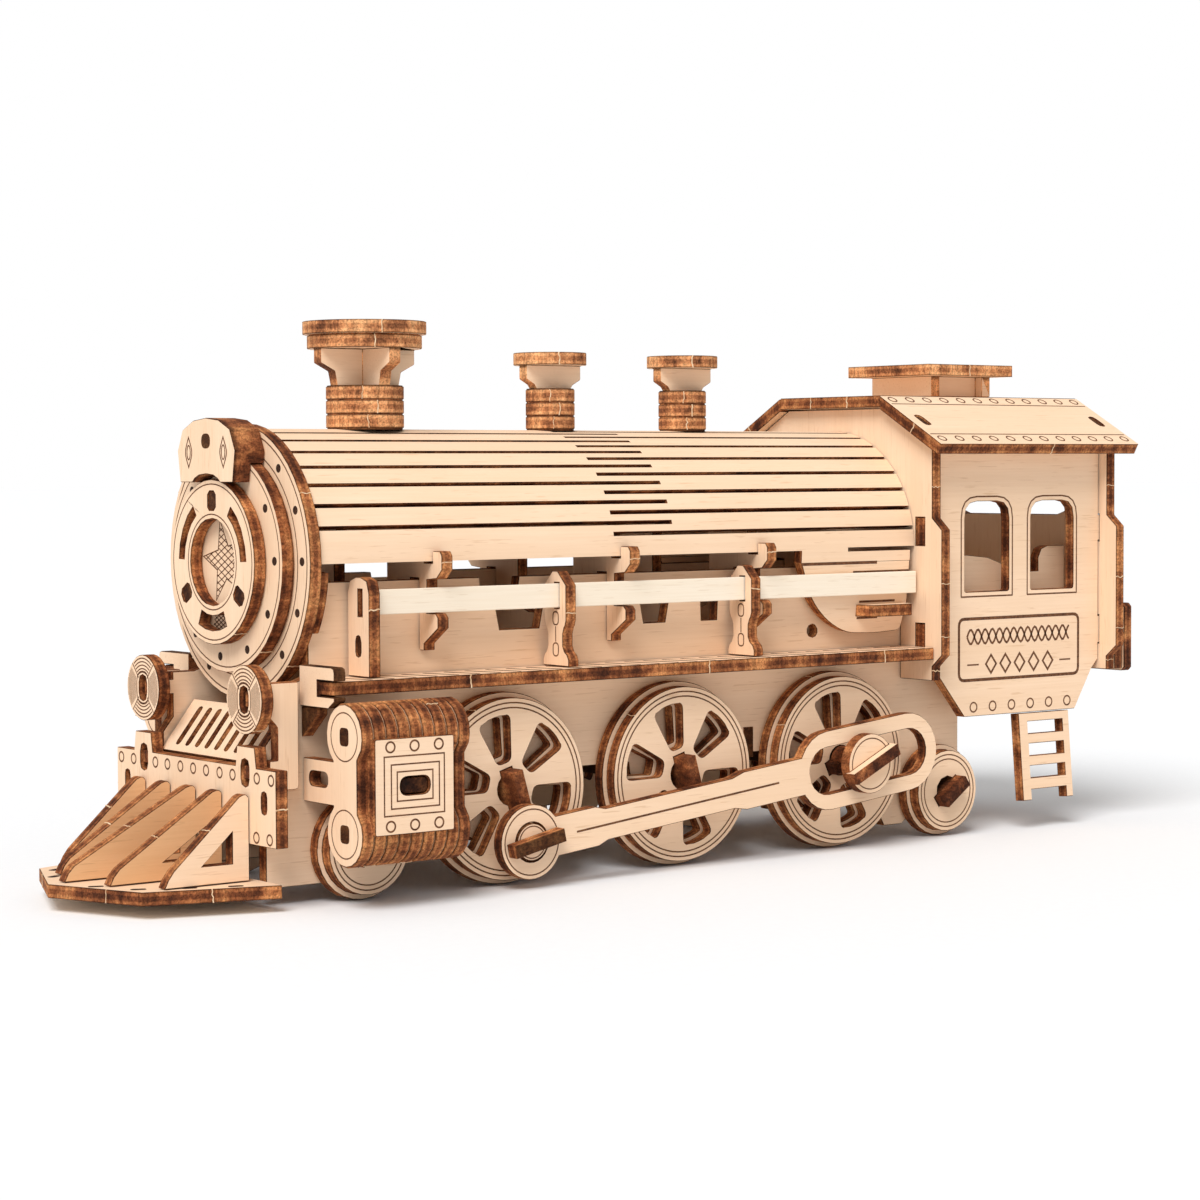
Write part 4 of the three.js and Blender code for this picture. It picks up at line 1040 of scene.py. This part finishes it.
# ---- pegs that show in the slots ----
pegs = Builder()
pegs.prism(front_face(PLATE_X), oval(0, 108.3, 4.4, 3.8), (), -0.5, 0.05, slots=(1, 1))
peg = fillet(rect(12.5, BOILER_Z - 1.75, 16.7, BOILER_Z + 1.75), 0.8)
for angle in (90, 212, 328):
    around = turned(peg, angle, (0, BOILER_Z))
    pegs.prism(front_face(DOOR_X), around, (), -1.5, -0.22, slots=(1, 1))
for s in SIDES.values():
    for x in (84.1, 152.5):
        hole = oval(x, (33 - ROOF_Y) / math.cos(ROOF_SLOPE), 2.2, 5.4)
        pegs.prism(roof_face(s), hole, (), -2.4, -0.35, slots=(1, 1))
    pegs.prism(front_face(POSTS_X[0]), oval(s * 31.5, 60, 2.2, 4.7), (), -2.6, -0.3, slots=(1, 1))
    pegs.prism(side_face(s, 25.8), rect(26.2, 25.5, 29.4, 33.4), (), -1.0, 0.35, slots=(1, 1))
    # the gusset under a running board's front bracket, all in burnt-edge colour: painted shade
    # under the board
    shaded_gusset = [(26.1, 46.3), (32.6, 46.3), (32.6, 44.6), (26.1, 39.2)]
    pegs.prism(front_face(-109.0), aside(shaded_gusset, s), slots=(1, 1))
# cores inside the stacks, which close the CAD's air gaps between discs
for x, radius in ((CHIMNEY_X, 9.3), (DOME_1_X, 6.1), (DOME_2_X, 6.1)):
    core = ring_points(x, 0, radius, n=40)
    pegs.prism(top_face(122), core, (), -10.9, slots=(1, 1), chamfer=0)
pegs.make("peg_ends", FRONT_PLATE, "chassis", "burnt_edge")

# ---- studio ----
floor_mesh = bpy.data.meshes.new("floor")
HALF = 12.0
corners = [(x, y, 0) for x, y in rect(-HALF, -HALF, HALF, HALF)]
floor_mesh.from_pydata(corners, [], [(0, 1, 2, 3)])
floor = bpy.data.objects.new("floor", floor_mesh)
floor.location.z = -0.0001
scene.collection.objects.link(floor)
s = Shader("white_paper")
tones = [(0.3, (0.870, 0.882, 0.892)), (0.7, (0.885, 0.897, 0.907))]
mottle = s.ramp(s.noise(400, (1, 1, 1), 2), tones)
floor_mesh.materials.append(s.finish(mottle, 0.75, specular=0.2))

# The sky lights the scene at a little over half strength, and the camera sees it as plain white.
world = bpy.data.worlds.new("studio")
world.use_nodes = True
backdrop = world.node_tree.nodes["Background"]
backdrop.inputs["Color"].default_value = (1.0, 1.0, 1.0, 1)
backdrop.inputs["Strength"].default_value = 0.54
white = world.node_tree.nodes.new("ShaderNodeBackground")
white.inputs["Color"].default_value = (1, 1, 1, 1)
camera_ray = world.node_tree.nodes.new("ShaderNodeLightPath")
chosen = world.node_tree.nodes.new("ShaderNodeMixShader")
links = world.node_tree.links
links.new(camera_ray.outputs["Is Camera Ray"], chosen.inputs[0])
links.new(backdrop.outputs[0], chosen.inputs[1])
links.new(white.outputs[0], chosen.inputs[2])
links.new(chosen.outputs[0], world.node_tree.nodes["World Output"].inputs["Surface"])
scene.world = world


def far_light(name, towards, spread, strength, colour):
    """A soft light from far off, as from a large window."""
    data = bpy.data.lights.new(name, "SUN")
    data.angle, data.energy, data.color = math.radians(spread), strength, colour
    lamp = bpy.data.objects.new(name, data)
    lamp.rotation_euler = Vector(towards).to_track_quat("-Z", "Y").to_euler()
    scene.collection.objects.link(lamp)


far_light("key", (0.90, 0.66, -1.25), 32, 2.70, (1.0, 0.985, 0.98))

# ---- camera: solved from edges and circles in the photograph ----
CAMERA_AT = (-0.45963, -0.59949, 0.10191)
yaw, pitch_down, roll = (math.radians(a) for a in (37.60, 2.62, -0.23))
ahead = Vector((
    math.sin(yaw) * math.cos(pitch_down),
    math.cos(yaw) * math.cos(pitch_down),
    -math.sin(pitch_down),
))
right = Vector((math.cos(yaw), -math.sin(yaw), 0))
up = right.cross(ahead)
right, up = (
    right * math.cos(roll) + up * math.sin(roll),
    up * math.cos(roll) - right * math.sin(roll),
)
camera_data = bpy.data.cameras.new("camera")
camera_data.sensor_width = 36
camera_data.lens = 86.15
camera_data.shift_x = -0.00815
camera_data.shift_y = -0.0019
camera_data.clip_start, camera_data.clip_end = 0.05, 60
camera = bpy.data.objects.new("camera", camera_data)
turn = Matrix((right, up, -ahead)).transposed().to_4x4()
camera.matrix_world = Matrix.Translation(CAMERA_AT) @ turn
scene.collection.objects.link(camera)
scene.camera = camera
scene.view_settings.view_transform = "Standard"
